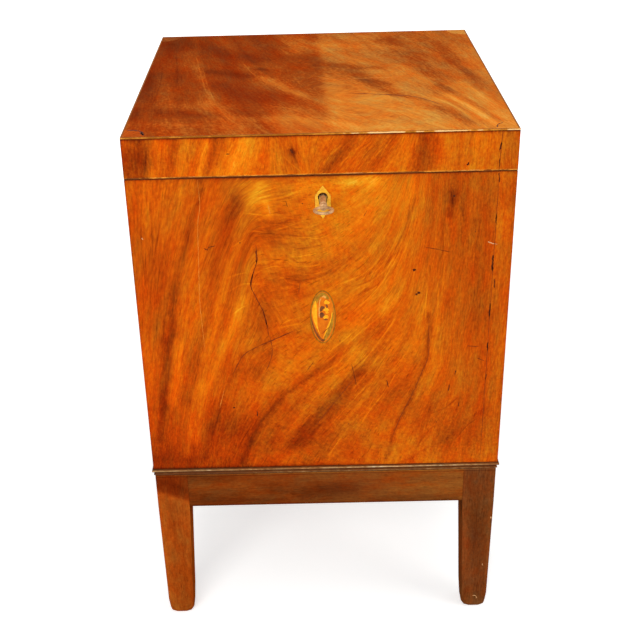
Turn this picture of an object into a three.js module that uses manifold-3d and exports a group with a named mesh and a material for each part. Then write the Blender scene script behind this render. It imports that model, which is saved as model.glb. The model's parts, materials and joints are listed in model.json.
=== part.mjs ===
// A square Georgian cellarette on its stand: a mahogany box with a hinged lid that holds nine bottles,
// on a frame with four square tapered legs. Millimetres, +Z up, the front faces -Y, the floor is z = 0.
// The case and lid are dovetailed boards under thin veneer, with boxwood stringing and inlays. A link
// lock in the front board has its key in it, and a brass carrying handle hangs on each side.

import * as THREE from "three";
import { mergeVertices } from "three/addons/utils/BufferGeometryUtils.js";
import Module from "manifold-3d";

const wasm = await Module();
wasm.setup();

// Overall sizes
const caseWidth = 440;
const caseDepth = 440;
const standHeight = 246.3;
const caseHeight = 396.4;
const lidHeight = 48.8;
const jointGap = 0.8;

// Boards and veneers
const boardThickness = 15;
const veneerThickness = 1.2;
const bottomThickness = 12;
const bottomRabbet = 7.5;
const lidTopThickness = 12;

// Clearances: glued faces, fitted pieces and turning pieces
const glueGap = 0.05;
const fitGap = 0.3;
const turnGap = 0.4;
const cutOverrun = 5;
const mergeTolerance = 0.0001;

// Dovetails
const dovetailSlopeShare = 1 / 6;
const tailRootShare = 0.64;
const caseTailCount = 7;
const lidTailCount = 2;

// Stand: legs, rails and the moulding under the case
const standInset = 1.3;
const legWidth = 41;
const legInnerTaper = 7;
const legOuterTaper = 1.5;
const legArris = 0.3;
const legCornerSteps = 2;
const footRound = 5.5;
const footRoundSteps = 3;
const footCornerRound = 10;
const footWearHeight = 26;
const railHeight = 50.5;
const railThickness = 20;
const tenonThickness = 8;
const tenonShoulder = 6;
const tenonLength = 25;
const mouldingHeight = 11;
const mouldingReach = 2;
const mouldingWidth = 34;
const upperBeadRadius = 2.4;
const lowerBeadRadius = 2.2;
const beadQuirk = 1.2;
const beadSteps = 6;

// Bottle rack
const dividerThickness = 8;
const dividerHeight = 205;
const rackRows = 3;

// Stringing and inlays
const edgeStringing = 2;
const rimStringing = 1.5;
const inlayGap = 0.1;
const fanRadius = 25;
const fanSteps = 10;
const pateraHalfWidth = 15.2;
const pateraHalfHeight = 35.6;
const pateraBand = 1.3;
const pateraDrop = 180.4;
const pateraSteps = 20;

// Escutcheon and keyhole
const keyAxisX = 2;
const keyAxisDrop = 26.4;
const escutcheonHalfWidth = 8.9;
const escutcheonTopRise = 14.2;
const escutcheonShoulderRise = 2.4;
const escutcheonShoulderDrop = 12.2;
const escutcheonTipDrop = 26.4;
const keyholeRadius = 5.2;
const keyholeFootHalf = 3.8;
const keyholeDrop = 10.6;
const keyholeSteps = 10;

// Link lock
const lockHalfWidth = 37;
const lockHeight = 44;
const lockDepth = 12;
const lockPlate = 1.5;
const selvedgeHalfWidth = 42;
const selvedgeThickness = 2;
const stapleSpread = 18;
const stapleThickness = 3;
const stapleWidth = 7.4;
const stapleEyeWidth = 4.2;
const stapleEyeTop = 5.8;
const stapleEyeHeight = 4.4;
const stapleDrop = 12.2;
const boltThickness = 3;
const boltTop = 13.5;
const boltHeight = 6;
const boltLeftReach = 27;
const fingerClearance = 1;
const fingerLength = 7;
const fingerStem = 4;
const talonWidth = 15;
const talonDepth = 2.3;
const talonOffset = 2;
const boltThrowLeft = 6;
const boltThrowRight = 2;
const stumpRadius = 1.3;
const stumpShoulder = 2.6;
const stumpInset = 6;
const drillPinRadius = 1.4;
const drillPinLength = 13;

// Key
const keyShankRadius = 3.2;
const keyBoreRadius = 1.8;
const keyBoreLength = 17;
const keyTipGap = 0.6;
const keyShoulderReach = 29.3;
const keyCollarRadius = 4.3;
const keyCollarLength = 2.2;
const keyCollarPitch = 6.5;
const keyBowHalfWidth = 11.6;
const keyBowLength = 19.5;
const keyBowWire = 1.7;
const keyBowSink = 1.5;
const keyBitRadius = 8.6;
const keyBitThickness = 2.5;
const keyBitLength = 7.4;
const keySides = 20;
const bowSides = 10;
const bowSteps = 28;

// Hinges
const hingeSpreadShare = 0.64;
const hingeLength = 60;
const hingeInset = 5;
const hingeBarrelRadius = 3.5;
const hingeLeafWidth = 9;
const hingeLeafThickness = 2;
const hingePinRadius = 1.5;
const hingePinGap = 0.1;
const hingeKnuckles = 5;
const hingeSides = 20;
const lidStopDegrees = 96;

// Carrying handles
const handleRiseShare = 0.66;
const postSpread = 38;
const postStand = 14;
const roseRadius = 11;
const roseThickness = 2.6;
const postNeckRadius = 4;
const postEyeRadius = 6.2;
const postShankRadius = 2.8;
const postNutRadius = 6;
const postNutThickness = 3;
const postSides = 20;
const bailEndRadius = 2.2;
const bailGripRadius = 3.9;
const bailDrop = 36;
const bailKneeDropShare = 0.12;
const bailWaistDropShare = 0.38;
const bailWaistInShare = 0.02;
const bailElbowDropShare = 0.66;
const bailElbowInShare = 0.08;
const bailSoleDropShare = 0.95;
const bailSoleSpreadShare = 0.62;
const bailSides = 10;
const bailSteps = 36;
const bailEyeReach = 4;

// Levels and faces that follow from the sizes above
const halfWidth = caseWidth / 2;
const halfDepth = caseDepth / 2;
const coreHalfWidth = halfWidth - veneerThickness;
const coreFront = -halfDepth + veneerThickness;
const innerHalfWidth = coreHalfWidth - boardThickness;
const innerFront = coreFront + boardThickness;
const innerBack = halfDepth - boardThickness;
const hingeAxisY = halfDepth - hingeInset;
const hingeSpread = halfWidth * hingeSpreadShare;
const handleRise = caseHeight * handleRiseShare;
const keyAxisZ = caseHeight - keyAxisDrop;
const lockFront = innerFront - lockDepth;
const lockMiddle = innerFront - lockDepth / 2;
const railTop = standHeight - mouldingHeight - glueGap;
const railBottom = railTop - railHeight;
const lidRailHeight = lidHeight - veneerThickness - lidTopThickness;
const keyReach = keyShoulderReach - keyBowSink + keyBowLength;

// Finishes
const finish = {
  mahogany: new THREE.MeshStandardMaterial({ color: 0xb5541a, roughness: 0.35, metalness: 0 }),
  topMahogany: new THREE.MeshStandardMaterial({ color: 0x9c4416, roughness: 0.3, metalness: 0 }),
  standMahogany: new THREE.MeshStandardMaterial({ color: 0x6f3210, roughness: 0.45, metalness: 0 }),
  boardWood: new THREE.MeshStandardMaterial({ color: 0x8a5a33, roughness: 0.7, metalness: 0 }),
  boxwood: new THREE.MeshStandardMaterial({ color: 0xd9a441, roughness: 0.4, metalness: 0 }),
  brass: new THREE.MeshStandardMaterial({ color: 0xb08d45, roughness: 0.35, metalness: 1 }),
  steel: new THREE.MeshStandardMaterial({ color: 0x8f8378, roughness: 0.45, metalness: 1 }),
};

// A closed geometry as a solid that can be cut and joined.
function solidOf(geometry) {
  const bare = geometry.clone();
  bare.deleteAttribute("normal");
  bare.deleteAttribute("uv");
  const merged = mergeVertices(bare, mergeTolerance);
  const mesh = new wasm.Mesh({
    numProp: 3,
    vertProperties: merged.attributes.position.array,
    triVerts: new Uint32Array(merged.index.array),
  });
  return new wasm.Manifold(mesh);
}

function geometryOf(solid) {
  const mesh = solid.getMesh();
  const geometry = new THREE.BufferGeometry();
  geometry.setAttribute("position", new THREE.BufferAttribute(mesh.vertProperties, 3));
  geometry.setIndex(new THREE.BufferAttribute(mesh.triVerts, 1));
  geometry.computeVertexNormals();
  return geometry;
}

function cut(base, ...tools) {
  return geometryOf(tools.reduce((solid, tool) => solid.subtract(solidOf(tool)), solidOf(base)));
}

function join(base, ...others) {
  return geometryOf(others.reduce((solid, other) => solid.add(solidOf(other)), solidOf(base)));
}

// A box that fills the ranges [low, high] along x, y and z.
function block([x0, x1], [y0, y1], [z0, z1]) {
  const box = new THREE.BoxGeometry(x1 - x0, y1 - y0, z1 - z0);
  return box.translate((x0 + x1) / 2, (y0 + y1) / 2, (z0 + z1) / 2);
}

function around(middle, half) {
  return [middle - half, middle + half];
}

function shapeOf(points) {
  return new THREE.Shape(points.map(([u, v]) => new THREE.Vector2(u, v)));
}

// An outline drawn in x and z, filled from y0 to y1.
function prismAlongY(shape, [y0, y1]) {
  const prism = new THREE.ExtrudeGeometry(shape, { depth: y1 - y0, bevelEnabled: false });
  return prism.rotateX(Math.PI / 2).translate(0, y1, 0);
}

// An outline drawn in y and z, filled from x0 to x1.
function prismAlongX(shape, [x0, x1]) {
  const prism = new THREE.ExtrudeGeometry(shape, { depth: x1 - x0, bevelEnabled: false });
  const turn = new THREE.Matrix4().makeBasis(
    new THREE.Vector3(0, 1, 0),
    new THREE.Vector3(0, 0, 1),
    new THREE.Vector3(1, 0, 0),
  );
  return prism.applyMatrix4(turn).translate(x0, 0, 0);
}

// An outline drawn in x and y, filled from z0 to z1.
function prismAlongZ(shape, [z0, z1]) {
  const prism = new THREE.ExtrudeGeometry(shape, { depth: z1 - z0, bevelEnabled: false });
  return prism.translate(0, 0, z0);
}

function rodAlongX(radius, [x0, x1], y, z, sides) {
  const rod = new THREE.CylinderGeometry(radius, radius, x1 - x0, sides);
  return rod.rotateZ(Math.PI / 2).translate((x0 + x1) / 2, y, z);
}

function rodAlongY(radius, [y0, y1], x, z, sides) {
  const rod = new THREE.CylinderGeometry(radius, radius, y1 - y0, sides);
  return rod.translate(x, (y0 + y1) / 2, z);
}

// A skin over rings of points, closed by a fan on the first ring and on the last.
function loft(rings) {
  const size = rings[0].length;
  const positions = rings.flat().flatMap((p) => [p.x, p.y, p.z]);
  const index = [];
  for (let ring = 0; ring + 1 < rings.length; ring++) {
    for (let i = 0; i < size; i++) {
      const a = ring * size + i;
      const b = ring * size + ((i + 1) % size);
      index.push(a, b, b + size, a, b + size, a + size);
    }
  }
  const last = (rings.length - 1) * size;
  for (let i = 1; i + 1 < size; i++) {
    index.push(0, i + 1, i);
    index.push(last, last + i, last + i + 1);
  }
  const geometry = new THREE.BufferGeometry();
  geometry.setAttribute("position", new THREE.Float32BufferAttribute(positions, 3));
  geometry.setIndex(index);
  geometry.computeVertexNormals();
  return geometry;
}

function piece(group, name, geometry, material) {
  const mesh = new THREE.Mesh(geometry, material);
  mesh.name = name;
  group.add(mesh);
  return mesh;
}

// Stand

// A level square from low to high along x and y, with its four corners rounded.
function roundedSquare(low, high, radius, z) {
  const middles = [
    [high - radius, high - radius],
    [low + radius, high - radius],
    [low + radius, low + radius],
    [high - radius, low + radius],
  ];
  return middles.flatMap(([x, y], corner) =>
    Array.from({ length: legCornerSteps + 1 }, (_, i) => {
      const turn = (corner + i / legCornerSteps) * (Math.PI / 2);
      return new THREE.Vector3(x + radius * Math.cos(turn), y + radius * Math.sin(turn), z);
    }),
  );
}

// One leg in the frame of its outer corner: it stands inwards along +x and +y, and has both mortises.
// The foot is worn: its edges are rounded underneath, and its corners up to footWearHeight.
function legGeometry() {
  const tapered = (z, inset) => {
    const downShare = 1 - z / railBottom;
    const wearShare = 1 - z / footWearHeight;
    const radius = legArris + (footCornerRound - legArris) * wearShare;
    return roundedSquare(
      legOuterTaper * downShare + inset,
      legWidth - legInnerTaper * downShare - inset,
      radius,
      z,
    );
  };
  const rings = [];
  for (let i = 0; i <= footRoundSteps; i++) {
    const turn = (i / footRoundSteps) * (Math.PI / 2);
    rings.push(tapered(footRound * (1 - Math.cos(turn)), footRound * (1 - Math.sin(turn))));
  }
  rings.push(tapered(footWearHeight, 0));
  rings.push(roundedSquare(0, legWidth, legArris, railBottom));
  rings.push(roundedSquare(0, legWidth, legArris, railTop));
  const along = [legWidth - tenonLength - fitGap, legWidth + cutOverrun];
  const across = around(railThickness / 2, tenonThickness / 2 + fitGap);
  const up = [railBottom + tenonShoulder - fitGap, railTop - tenonShoulder + fitGap];
  return cut(loft(rings), block(along, across, up), block(across, along, up));
}

// A rail with its two tenons: its outer face is y = 0 and it runs along x between two legs.
function railGeometry(halfLength) {
  const halfShoulder = halfLength - legWidth - glueGap;
  const body = block([-halfShoulder, halfShoulder], [0, railThickness], [railBottom, railTop]);
  const halfTenon = halfLength - legWidth + tenonLength;
  const tenons = block(
    [-halfTenon, halfTenon],
    around(railThickness / 2, tenonThickness / 2),
    [railBottom + tenonShoulder, railTop - tenonShoulder],
  );
  return join(body, tenons);
}

// The moulding's section: y runs inwards from the nose of the upper bead, z up from its underside.
function mouldingShape() {
  const arc = (radius, noseY, middleZ) =>
    Array.from({ length: beadSteps + 1 }, (_, i) => {
      const turn = Math.PI / 2 - (i / beadSteps) * Math.PI;
      return [noseY + radius * (1 - Math.cos(turn)), middleZ + radius * Math.sin(turn)];
    });
  const lowerNose = mouldingReach;
  const upperMiddle = mouldingHeight - upperBeadRadius;
  const lowerMiddle = upperMiddle - upperBeadRadius - beadQuirk - lowerBeadRadius;
  const fillet = mouldingReach + standInset;
  return shapeOf([
    [mouldingWidth, mouldingHeight],
    ...arc(upperBeadRadius, 0, upperMiddle),
    ...arc(lowerBeadRadius, lowerNose, lowerMiddle),
    [fillet, 0],
    [mouldingWidth, 0],
  ]);
}

// A mitred strip of moulding along x, with its nose at y = 0 and its underside at z = 0.
function mouldingGeometry(halfNose) {
  const strip = prismAlongX(mouldingShape(), [-halfNose, halfNose]);
  const position = strip.attributes.position;
  for (let i = 0; i < position.count; i++) {
    const end = halfNose - position.getY(i) - glueGap;
    position.setX(i, Math.sign(position.getX(i)) * end);
  }
  return strip;
}

function makeStand() {
  const stand = new THREE.Group();
  const legX = halfWidth - standInset;
  const legY = halfDepth - standInset;
  const quarter = Math.PI / 2;
  const corners = [
    ["leg_front_left", -legX, -legY, 0],
    ["leg_front_right", legX, -legY, quarter],
    ["leg_back_right", legX, legY, 2 * quarter],
    ["leg_back_left", -legX, legY, -quarter],
  ];
  for (const [name, x, y, turn] of corners) {
    const leg = piece(stand, name, legGeometry(), finish.standMahogany);
    leg.position.set(x, y, 0);
    leg.rotation.z = turn;
  }
  const sides = [
    ["front", 0, -1, legX, legY, 0],
    ["right", 1, 0, legY, legX, quarter],
    ["back", 0, 1, legX, legY, 2 * quarter],
    ["left", -1, 0, legY, legX, -quarter],
  ];
  const noseOut = standInset + mouldingReach;
  for (const [side, toX, toY, halfLength, reach, turn] of sides) {
    const rail = piece(stand, `rail_${side}`, railGeometry(halfLength), finish.standMahogany);
    rail.position.set(toX * reach, toY * reach, 0);
    rail.rotation.z = turn;
    const strip = mouldingGeometry(halfLength + noseOut);
    const moulding = piece(stand, `moulding_${side}`, strip, finish.standMahogany);
    moulding.position.set(toX * (reach + noseOut), toY * (reach + noseOut), railTop + glueGap);
    moulding.rotation.z = turn;
  }
  return stand;
}

// Dovetailed boards

// Where each tail of a dovetailed edge starts and ends at its root.
function tailSpans(height, count) {
  const pitch = height / count;
  const halfRoot = (pitch * tailRootShare) / 2;
  return Array.from({ length: count }, (_, i) => around((i + 1 / 2) * pitch, halfRoot));
}

// A board whose two ends are cut into tails, from z = 0 to its height.
function tailBoard(yRange, height, count) {
  const flare = boardThickness * dovetailSlopeShare;
  const rightEnd = tailSpans(height, count).flatMap(([low, high]) => [
    [innerHalfWidth, low],
    [coreHalfWidth, low - flare],
    [coreHalfWidth, high + flare],
    [innerHalfWidth, high],
  ]);
  const rightEdge = [[innerHalfWidth, 0], ...rightEnd, [innerHalfWidth, height]];
  const leftEdge = rightEdge.map(([x, z]) => [-x, z]).reverse();
  return prismAlongY(shapeOf([...rightEdge, ...leftEdge]), yRange);
}

// The sockets that the tails of the front and back boards need in a side board.
function tailSockets(side, height, count) {
  const start = innerHalfWidth - cutOverrun;
  const end = coreHalfWidth + cutOverrun;
  const startFlare = -cutOverrun * dovetailSlopeShare + fitGap;
  const endFlare = (boardThickness + cutOverrun) * dovetailSlopeShare + fitGap;
  const frontDepth = [coreFront - cutOverrun, innerFront + glueGap];
  const backDepth = [innerBack - glueGap, halfDepth + cutOverrun];
  return tailSpans(height, count).flatMap(([low, high]) => {
    const socket = shapeOf([
      [side * start, low - startFlare],
      [side * end, low - endFlare],
      [side * end, high + endFlare],
      [side * start, high + startFlare],
    ]);
    return [prismAlongY(socket, frontDepth), prismAlongY(socket, backDepth)];
  });
}

// A side board, cut into pins at both ends. side is -1 on the left and 1 on the right.
function pinBoard(side, height, count) {
  const xs = [side * (innerHalfWidth + glueGap), side * coreHalfWidth].sort((a, b) => a - b);
  return cut(block(xs, [coreFront, halfDepth], [0, height]), ...tailSockets(side, height, count));
}

// The bevel along the back of a rim that lets the lid open to its stop. up is 1 on the lid, -1 on the case.
function stopBevel(rim, up) {
  const run = hingeInset + cutOverrun;
  const rise = run * Math.tan(THREE.MathUtils.degToRad(lidStopDegrees / 2));
  const section = shapeOf([
    [hingeAxisY, rim - up * cutOverrun],
    [hingeAxisY + run, rim - up * cutOverrun],
    [hingeAxisY + run, rim + up * rise],
    [hingeAxisY, rim],
  ]);
  return prismAlongX(section, around(0, halfWidth + cutOverrun));
}

// The recesses that both hinges need in a rim.
function hingeRecesses(rim, up) {
  const axisZ = rim - (up * jointGap) / 2;
  const depths = [rim - up * cutOverrun, rim + up * (hingeLeafThickness + fitGap)];
  const leafDepth = depths.sort((a, b) => a - b);
  return [-hingeSpread, hingeSpread].flatMap((x) => {
    const along = around(x, hingeLength / 2 + fitGap);
    return [
      block(along, [hingeAxisY - hingeLeafWidth - fitGap, hingeAxisY], leafDepth),
      rodAlongX(hingeBarrelRadius + turnGap, along, hingeAxisY, axisZ, hingeSides),
    ];
  });
}

// Keyhole and lock pockets

// A keyhole outline around the key's axis: a round head over a foot that narrows downwards.
function keyholePoints(grow) {
  const head = keyholeRadius + grow;
  const round = Array.from({ length: keyholeSteps + 1 }, (_, i) => {
    const turn = (i / keyholeSteps) * Math.PI;
    return [head * Math.cos(turn), head * Math.sin(turn)];
  });
  const foot = keyholeFootHalf + grow;
  const drop = keyholeDrop + grow;
  return [...round, [-foot, -drop], [foot, -drop]];
}

function keyholeTool(yRange, z) {
  const shape = shapeOf(keyholePoints(0).map(([x, up]) => [x + keyAxisX, up + z]));
  return prismAlongY(shape, yRange);
}

function lockPocket() {
  const depth = [lockFront - fitGap, innerFront + cutOverrun];
  const bodyTop = caseHeight - selvedgeThickness;
  return [
    block(around(keyAxisX, lockHalfWidth + fitGap), depth, [caseHeight - lockHeight - fitGap, bodyTop]),
    block(
      around(keyAxisX, selvedgeHalfWidth + fitGap),
      depth,
      [bodyTop - fitGap, caseHeight + cutOverrun],
    ),
  ];
}

// Inlay outlines on the front veneer

function escutcheonPoints(grow) {
  const half = escutcheonHalfWidth + grow;
  return [
    [0, escutcheonTopRise + grow],
    [-half, escutcheonShoulderRise],
    [-half, -escutcheonShoulderDrop],
    [0, -escutcheonTipDrop - grow],
    [half, -escutcheonShoulderDrop],
    [half, escutcheonShoulderRise],
  ].map(([x, z]) => [x + keyAxisX, z + keyAxisZ]);
}

function ovalPoints(halfX, halfZ) {
  const middle = caseHeight - pateraDrop;
  return Array.from({ length: pateraSteps * 2 }, (_, i) => {
    const turn = (i / pateraSteps) * Math.PI;
    return [halfX * Math.cos(turn), middle + halfZ * Math.sin(turn)];
  });
}

// Case

function makeCase() {
  const box = new THREE.Group();
  box.position.z = standHeight + glueGap;
  const bottomSpace = block(
    around(0, innerHalfWidth + bottomRabbet),
    [innerFront - bottomRabbet, innerBack + bottomRabbet],
    [-cutOverrun, bottomThickness + fitGap],
  );

  const throughFront = [-halfDepth - cutOverrun, innerFront + cutOverrun];
  const frontBoard = cut(
    tailBoard([coreFront, innerFront], caseHeight, caseTailCount),
    bottomSpace,
    keyholeTool(throughFront, keyAxisZ),
    ...lockPocket(),
  );
  piece(box, "case_front_board", frontBoard, finish.boardWood);

  const bevel = stopBevel(caseHeight, -1);
  const backBoard = cut(
    tailBoard([innerBack, halfDepth], caseHeight, caseTailCount),
    bottomSpace,
    bevel,
    ...hingeRecesses(caseHeight, -1),
  );
  piece(box, "case_back_board", backBoard, finish.boardWood);

  const postHoles = (side) => {
    const through = around(side * coreHalfWidth, boardThickness * 2);
    return [-postSpread, postSpread].map((y) =>
      rodAlongX(postShankRadius + fitGap, through, y, handleRise, postSides),
    );
  };
  for (const [side, name] of [[-1, "left"], [1, "right"]]) {
    const board = cut(pinBoard(side, caseHeight, caseTailCount), bottomSpace, bevel, ...postHoles(side));
    piece(box, `case_${name}_board`, board, finish.boardWood);
    const faces = [side * (coreHalfWidth + glueGap), side * halfWidth].sort((a, b) => a - b);
    const sheet = block(faces, [coreFront + glueGap, halfDepth], [0, caseHeight]);
    piece(box, `case_${name}_veneer`, cut(sheet, bevel, ...postHoles(side)), finish.mahogany);
  }

  const bottom = block(
    around(0, innerHalfWidth + bottomRabbet - fitGap),
    [innerFront - bottomRabbet + fitGap, innerBack + bottomRabbet - fitGap],
    [0, bottomThickness],
  );
  piece(box, "case_bottom_board", bottom, finish.boardWood);

  const sheetDepth = [-halfDepth, coreFront - glueGap];
  const cutDepth = [-halfDepth - cutOverrun, coreFront + cutOverrun];
  const frontVeneer = cut(
    block([-halfWidth, halfWidth], sheetDepth, [0, caseHeight]),
    prismAlongY(shapeOf(escutcheonPoints(inlayGap)), cutDepth),
    prismAlongY(shapeOf(ovalPoints(pateraHalfWidth + inlayGap, pateraHalfHeight + inlayGap)), cutDepth),
  );
  piece(box, "case_front_veneer", frontVeneer, finish.mahogany);

  const plate = prismAlongY(shapeOf(escutcheonPoints(0)), sheetDepth);
  piece(box, "escutcheon", cut(plate, keyholeTool(cutDepth, keyAxisZ)), finish.boxwood);

  const bandInnerX = pateraHalfWidth - pateraBand;
  const bandInnerZ = pateraHalfHeight - pateraBand;
  const band = cut(
    prismAlongY(shapeOf(ovalPoints(pateraHalfWidth, pateraHalfHeight)), sheetDepth),
    prismAlongY(shapeOf(ovalPoints(bandInnerX, bandInnerZ)), cutDepth),
  );
  piece(box, "patera_band", band, finish.boxwood);
  const ground = prismAlongY(shapeOf(ovalPoints(bandInnerX - inlayGap, bandInnerZ - inlayGap)), sheetDepth);
  piece(box, "patera_ground", ground, finish.topMahogany);

  addRack(box);
  return box;
}

// The slotted boards that part the case into nine bottle cells. Those along x are slotted from above.
function addRack(box) {
  const floor = bottomThickness + glueGap;
  const top = floor + dividerHeight;
  const waist = floor + dividerHeight / 2;
  const lines = (low, high) =>
    Array.from({ length: rackRows - 1 }, (_, i) => low + ((high - low) * (i + 1)) / rackRows);
  const xLines = lines(-innerHalfWidth, innerHalfWidth);
  const yLines = lines(innerFront, innerBack);
  const halfBoard = dividerThickness / 2;
  const halfSlot = halfBoard + fitGap;
  const xSpan = around(0, innerHalfWidth - fitGap);
  const ySpan = [innerFront + fitGap, innerBack - fitGap];
  yLines.forEach((y, i) => {
    const slots = xLines.map((x) =>
      block(around(x, halfSlot), around(y, dividerThickness), [waist - fitGap / 2, top + cutOverrun]),
    );
    const board = cut(block(xSpan, around(y, halfBoard), [floor, top]), ...slots);
    piece(box, `rack_long_divider_${i + 1}`, board, finish.boardWood);
  });
  xLines.forEach((x, i) => {
    const slots = yLines.map((y) =>
      block(around(x, dividerThickness), around(y, halfSlot), [floor - cutOverrun, waist + fitGap / 2]),
    );
    const board = cut(block(around(x, halfBoard), ySpan, [floor, top]), ...slots);
    piece(box, `rack_cross_divider_${i + 1}`, board, finish.boardWood);
  });
}

// Lid: its rim is z = 0 in its own frame.

function quarterArc(radius) {
  return Array.from({ length: fanSteps + 1 }, (_, i) => {
    const turn = (i / fanSteps) * (Math.PI / 2);
    return [radius * Math.cos(turn), radius * Math.sin(turn)];
  });
}

function makeLid() {
  const lid = new THREE.Group();
  lid.position.z = standHeight + glueGap + caseHeight + jointGap;
  const bevel = stopBevel(0, 1);
  const throughRim = [-cutOverrun, selvedgeThickness + fitGap];
  const linkRecess = block(
    around(keyAxisX, selvedgeHalfWidth + fitGap),
    [lockFront - fitGap, innerFront + cutOverrun],
    throughRim,
  );
  const frontRail = cut(tailBoard([coreFront, innerFront], lidRailHeight, lidTailCount), linkRecess);
  piece(lid, "lid_front_rail", frontRail, finish.boardWood);
  const backRail = cut(
    tailBoard([innerBack, halfDepth], lidRailHeight, lidTailCount),
    bevel,
    ...hingeRecesses(0, 1),
  );
  piece(lid, "lid_back_rail", backRail, finish.boardWood);

  const stringTop = lidHeight - edgeStringing;
  const rimTop = rimStringing + glueGap;
  const veneerSpan = [rimTop, stringTop - glueGap];
  for (const [side, name] of [[-1, "left"], [1, "right"]]) {
    const rail = cut(pinBoard(side, lidRailHeight, lidTailCount), bevel);
    piece(lid, `lid_${name}_rail`, rail, finish.boardWood);
    const faces = [side * (coreHalfWidth + glueGap), side * halfWidth].sort((a, b) => a - b);
    const sheet = cut(block(faces, [coreFront + glueGap, halfDepth], veneerSpan), bevel);
    piece(lid, `lid_${name}_veneer`, sheet, finish.mahogany);
  }
  const frontDepth = [-halfDepth, coreFront - glueGap];
  piece(lid, "lid_front_veneer", block([-halfWidth, halfWidth], frontDepth, veneerSpan), finish.mahogany);

  const frameShape = (reach, width) => {
    const outer = reach;
    const inner = width;
    const shape = shapeOf([
      [-halfWidth - outer, -halfDepth - outer],
      [halfWidth + outer, -halfDepth - outer],
      [halfWidth + outer, halfDepth + outer],
      [-halfWidth - outer, halfDepth + outer],
    ]);
    const hole = shapeOf([
      [-halfWidth + inner, -halfDepth + inner],
      [-halfWidth + inner, halfDepth - inner],
      [halfWidth - inner, halfDepth - inner],
      [halfWidth - inner, -halfDepth + inner],
    ]);
    shape.holes.push(hole);
    return shape;
  };
  const stringing = prismAlongZ(frameShape(0, edgeStringing), [stringTop, lidHeight]);
  piece(lid, "lid_edge_stringing", stringing, finish.boxwood);

  const stringRabbet = prismAlongZ(
    frameShape(cutOverrun, edgeStringing + glueGap),
    [stringTop - glueGap, lidHeight + cutOverrun],
  );
  const coreRange = [coreFront, halfDepth];
  const topBoard = block(
    [-coreHalfWidth, coreHalfWidth],
    coreRange,
    [lidRailHeight + glueGap, lidRailHeight + lidTopThickness],
  );
  piece(lid, "lid_top_board", cut(topBoard, stringRabbet), finish.boardWood);

  const sheetHalfX = halfWidth - edgeStringing - glueGap;
  const sheetHalfY = halfDepth - edgeStringing - glueGap;
  const sheetRange = [lidHeight - veneerThickness + glueGap, lidHeight];
  const fanCutRange = [sheetRange[0] - cutOverrun, sheetRange[1] + cutOverrun];
  const quarter = Math.PI / 2;
  const corners = [
    ["front_left", -1, -1, 0],
    ["front_right", 1, -1, quarter],
    ["back_right", 1, 1, 2 * quarter],
    ["back_left", -1, 1, -quarter],
  ];
  const cutRadius = fanRadius + inlayGap;
  const cutPoints = [
    [-cutOverrun, -cutOverrun],
    [cutRadius, -cutOverrun],
    ...quarterArc(cutRadius),
    [-cutOverrun, cutRadius],
  ];
  const fanCuts = corners.map(([, toX, toY, turn]) =>
    prismAlongZ(shapeOf(cutPoints), fanCutRange)
      .rotateZ(turn)
      .translate(toX * sheetHalfX, toY * sheetHalfY, 0),
  );
  const topSheet = block(around(0, sheetHalfX), around(0, sheetHalfY), sheetRange);
  piece(lid, "lid_top_veneer", cut(topSheet, ...fanCuts), finish.topMahogany);
  for (const [name, toX, toY, turn] of corners) {
    const quadrant = prismAlongZ(shapeOf([[0, 0], ...quarterArc(fanRadius)]), sheetRange);
    const fan = piece(lid, `corner_fan_${name}`, quadrant, finish.mahogany);
    fan.position.set(toX * sheetHalfX, toY * sheetHalfY, 0);
    fan.rotation.z = turn;
  }

  // The rim stringing runs along the front and both sides, and stops at the bevel.
  const rimOuter = [
    [-halfWidth, -halfDepth],
    [halfWidth, -halfDepth],
    [halfWidth, halfDepth],
    [coreHalfWidth + glueGap, halfDepth],
    [coreHalfWidth + glueGap, coreFront - glueGap],
    [-coreHalfWidth - glueGap, coreFront - glueGap],
    [-coreHalfWidth - glueGap, halfDepth],
    [-halfWidth, halfDepth],
  ];
  const rimStrip = cut(prismAlongZ(shapeOf(rimOuter), [0, rimStringing]), bevel);
  piece(lid, "lid_rim_stringing", rimStrip, finish.boxwood);

  piece(lid, "link_plate", linkPlateGeometry(), finish.brass);
  return lid;
}

// Lock

// The lid's plate, with two eyes that drop into the lock for the bolt to pass through.
function linkPlateGeometry() {
  const plate = block(
    around(keyAxisX, selvedgeHalfWidth),
    [lockFront, innerFront],
    [0, selvedgeThickness],
  );
  const drop = stapleDrop + jointGap;
  const eyeTop = stapleEyeTop + jointGap;
  const halfOuter = stapleWidth / 2;
  const halfEye = stapleEyeWidth / 2;
  const staple = shapeOf([
    [lockMiddle - halfOuter, selvedgeThickness / 2],
    [lockMiddle - halfOuter, -drop + halfEye / 2],
    [lockMiddle - halfEye, -drop],
    [lockMiddle + halfEye, -drop],
    [lockMiddle + halfOuter, -drop + halfEye / 2],
    [lockMiddle + halfOuter, selvedgeThickness / 2],
  ]);
  staple.holes.push(
    shapeOf([
      [lockMiddle - halfEye, -eyeTop],
      [lockMiddle + halfEye, -eyeTop],
      [lockMiddle + halfEye, -eyeTop - stapleEyeHeight],
      [lockMiddle - halfEye, -eyeTop - stapleEyeHeight],
    ]),
  );
  const staples = [-stapleSpread, stapleSpread].map((x) =>
    prismAlongX(staple, around(keyAxisX + x, stapleThickness / 2)),
  );
  return join(plate, ...staples);
}

function stumpPlaces() {
  const z = caseHeight - boltTop - boltHeight / 2;
  const left = keyAxisX - boltLeftReach + stumpInset;
  const right = keyAxisX + stapleSpread + stumpInset / 2;
  return [[left, z], [right, z]];
}

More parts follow.
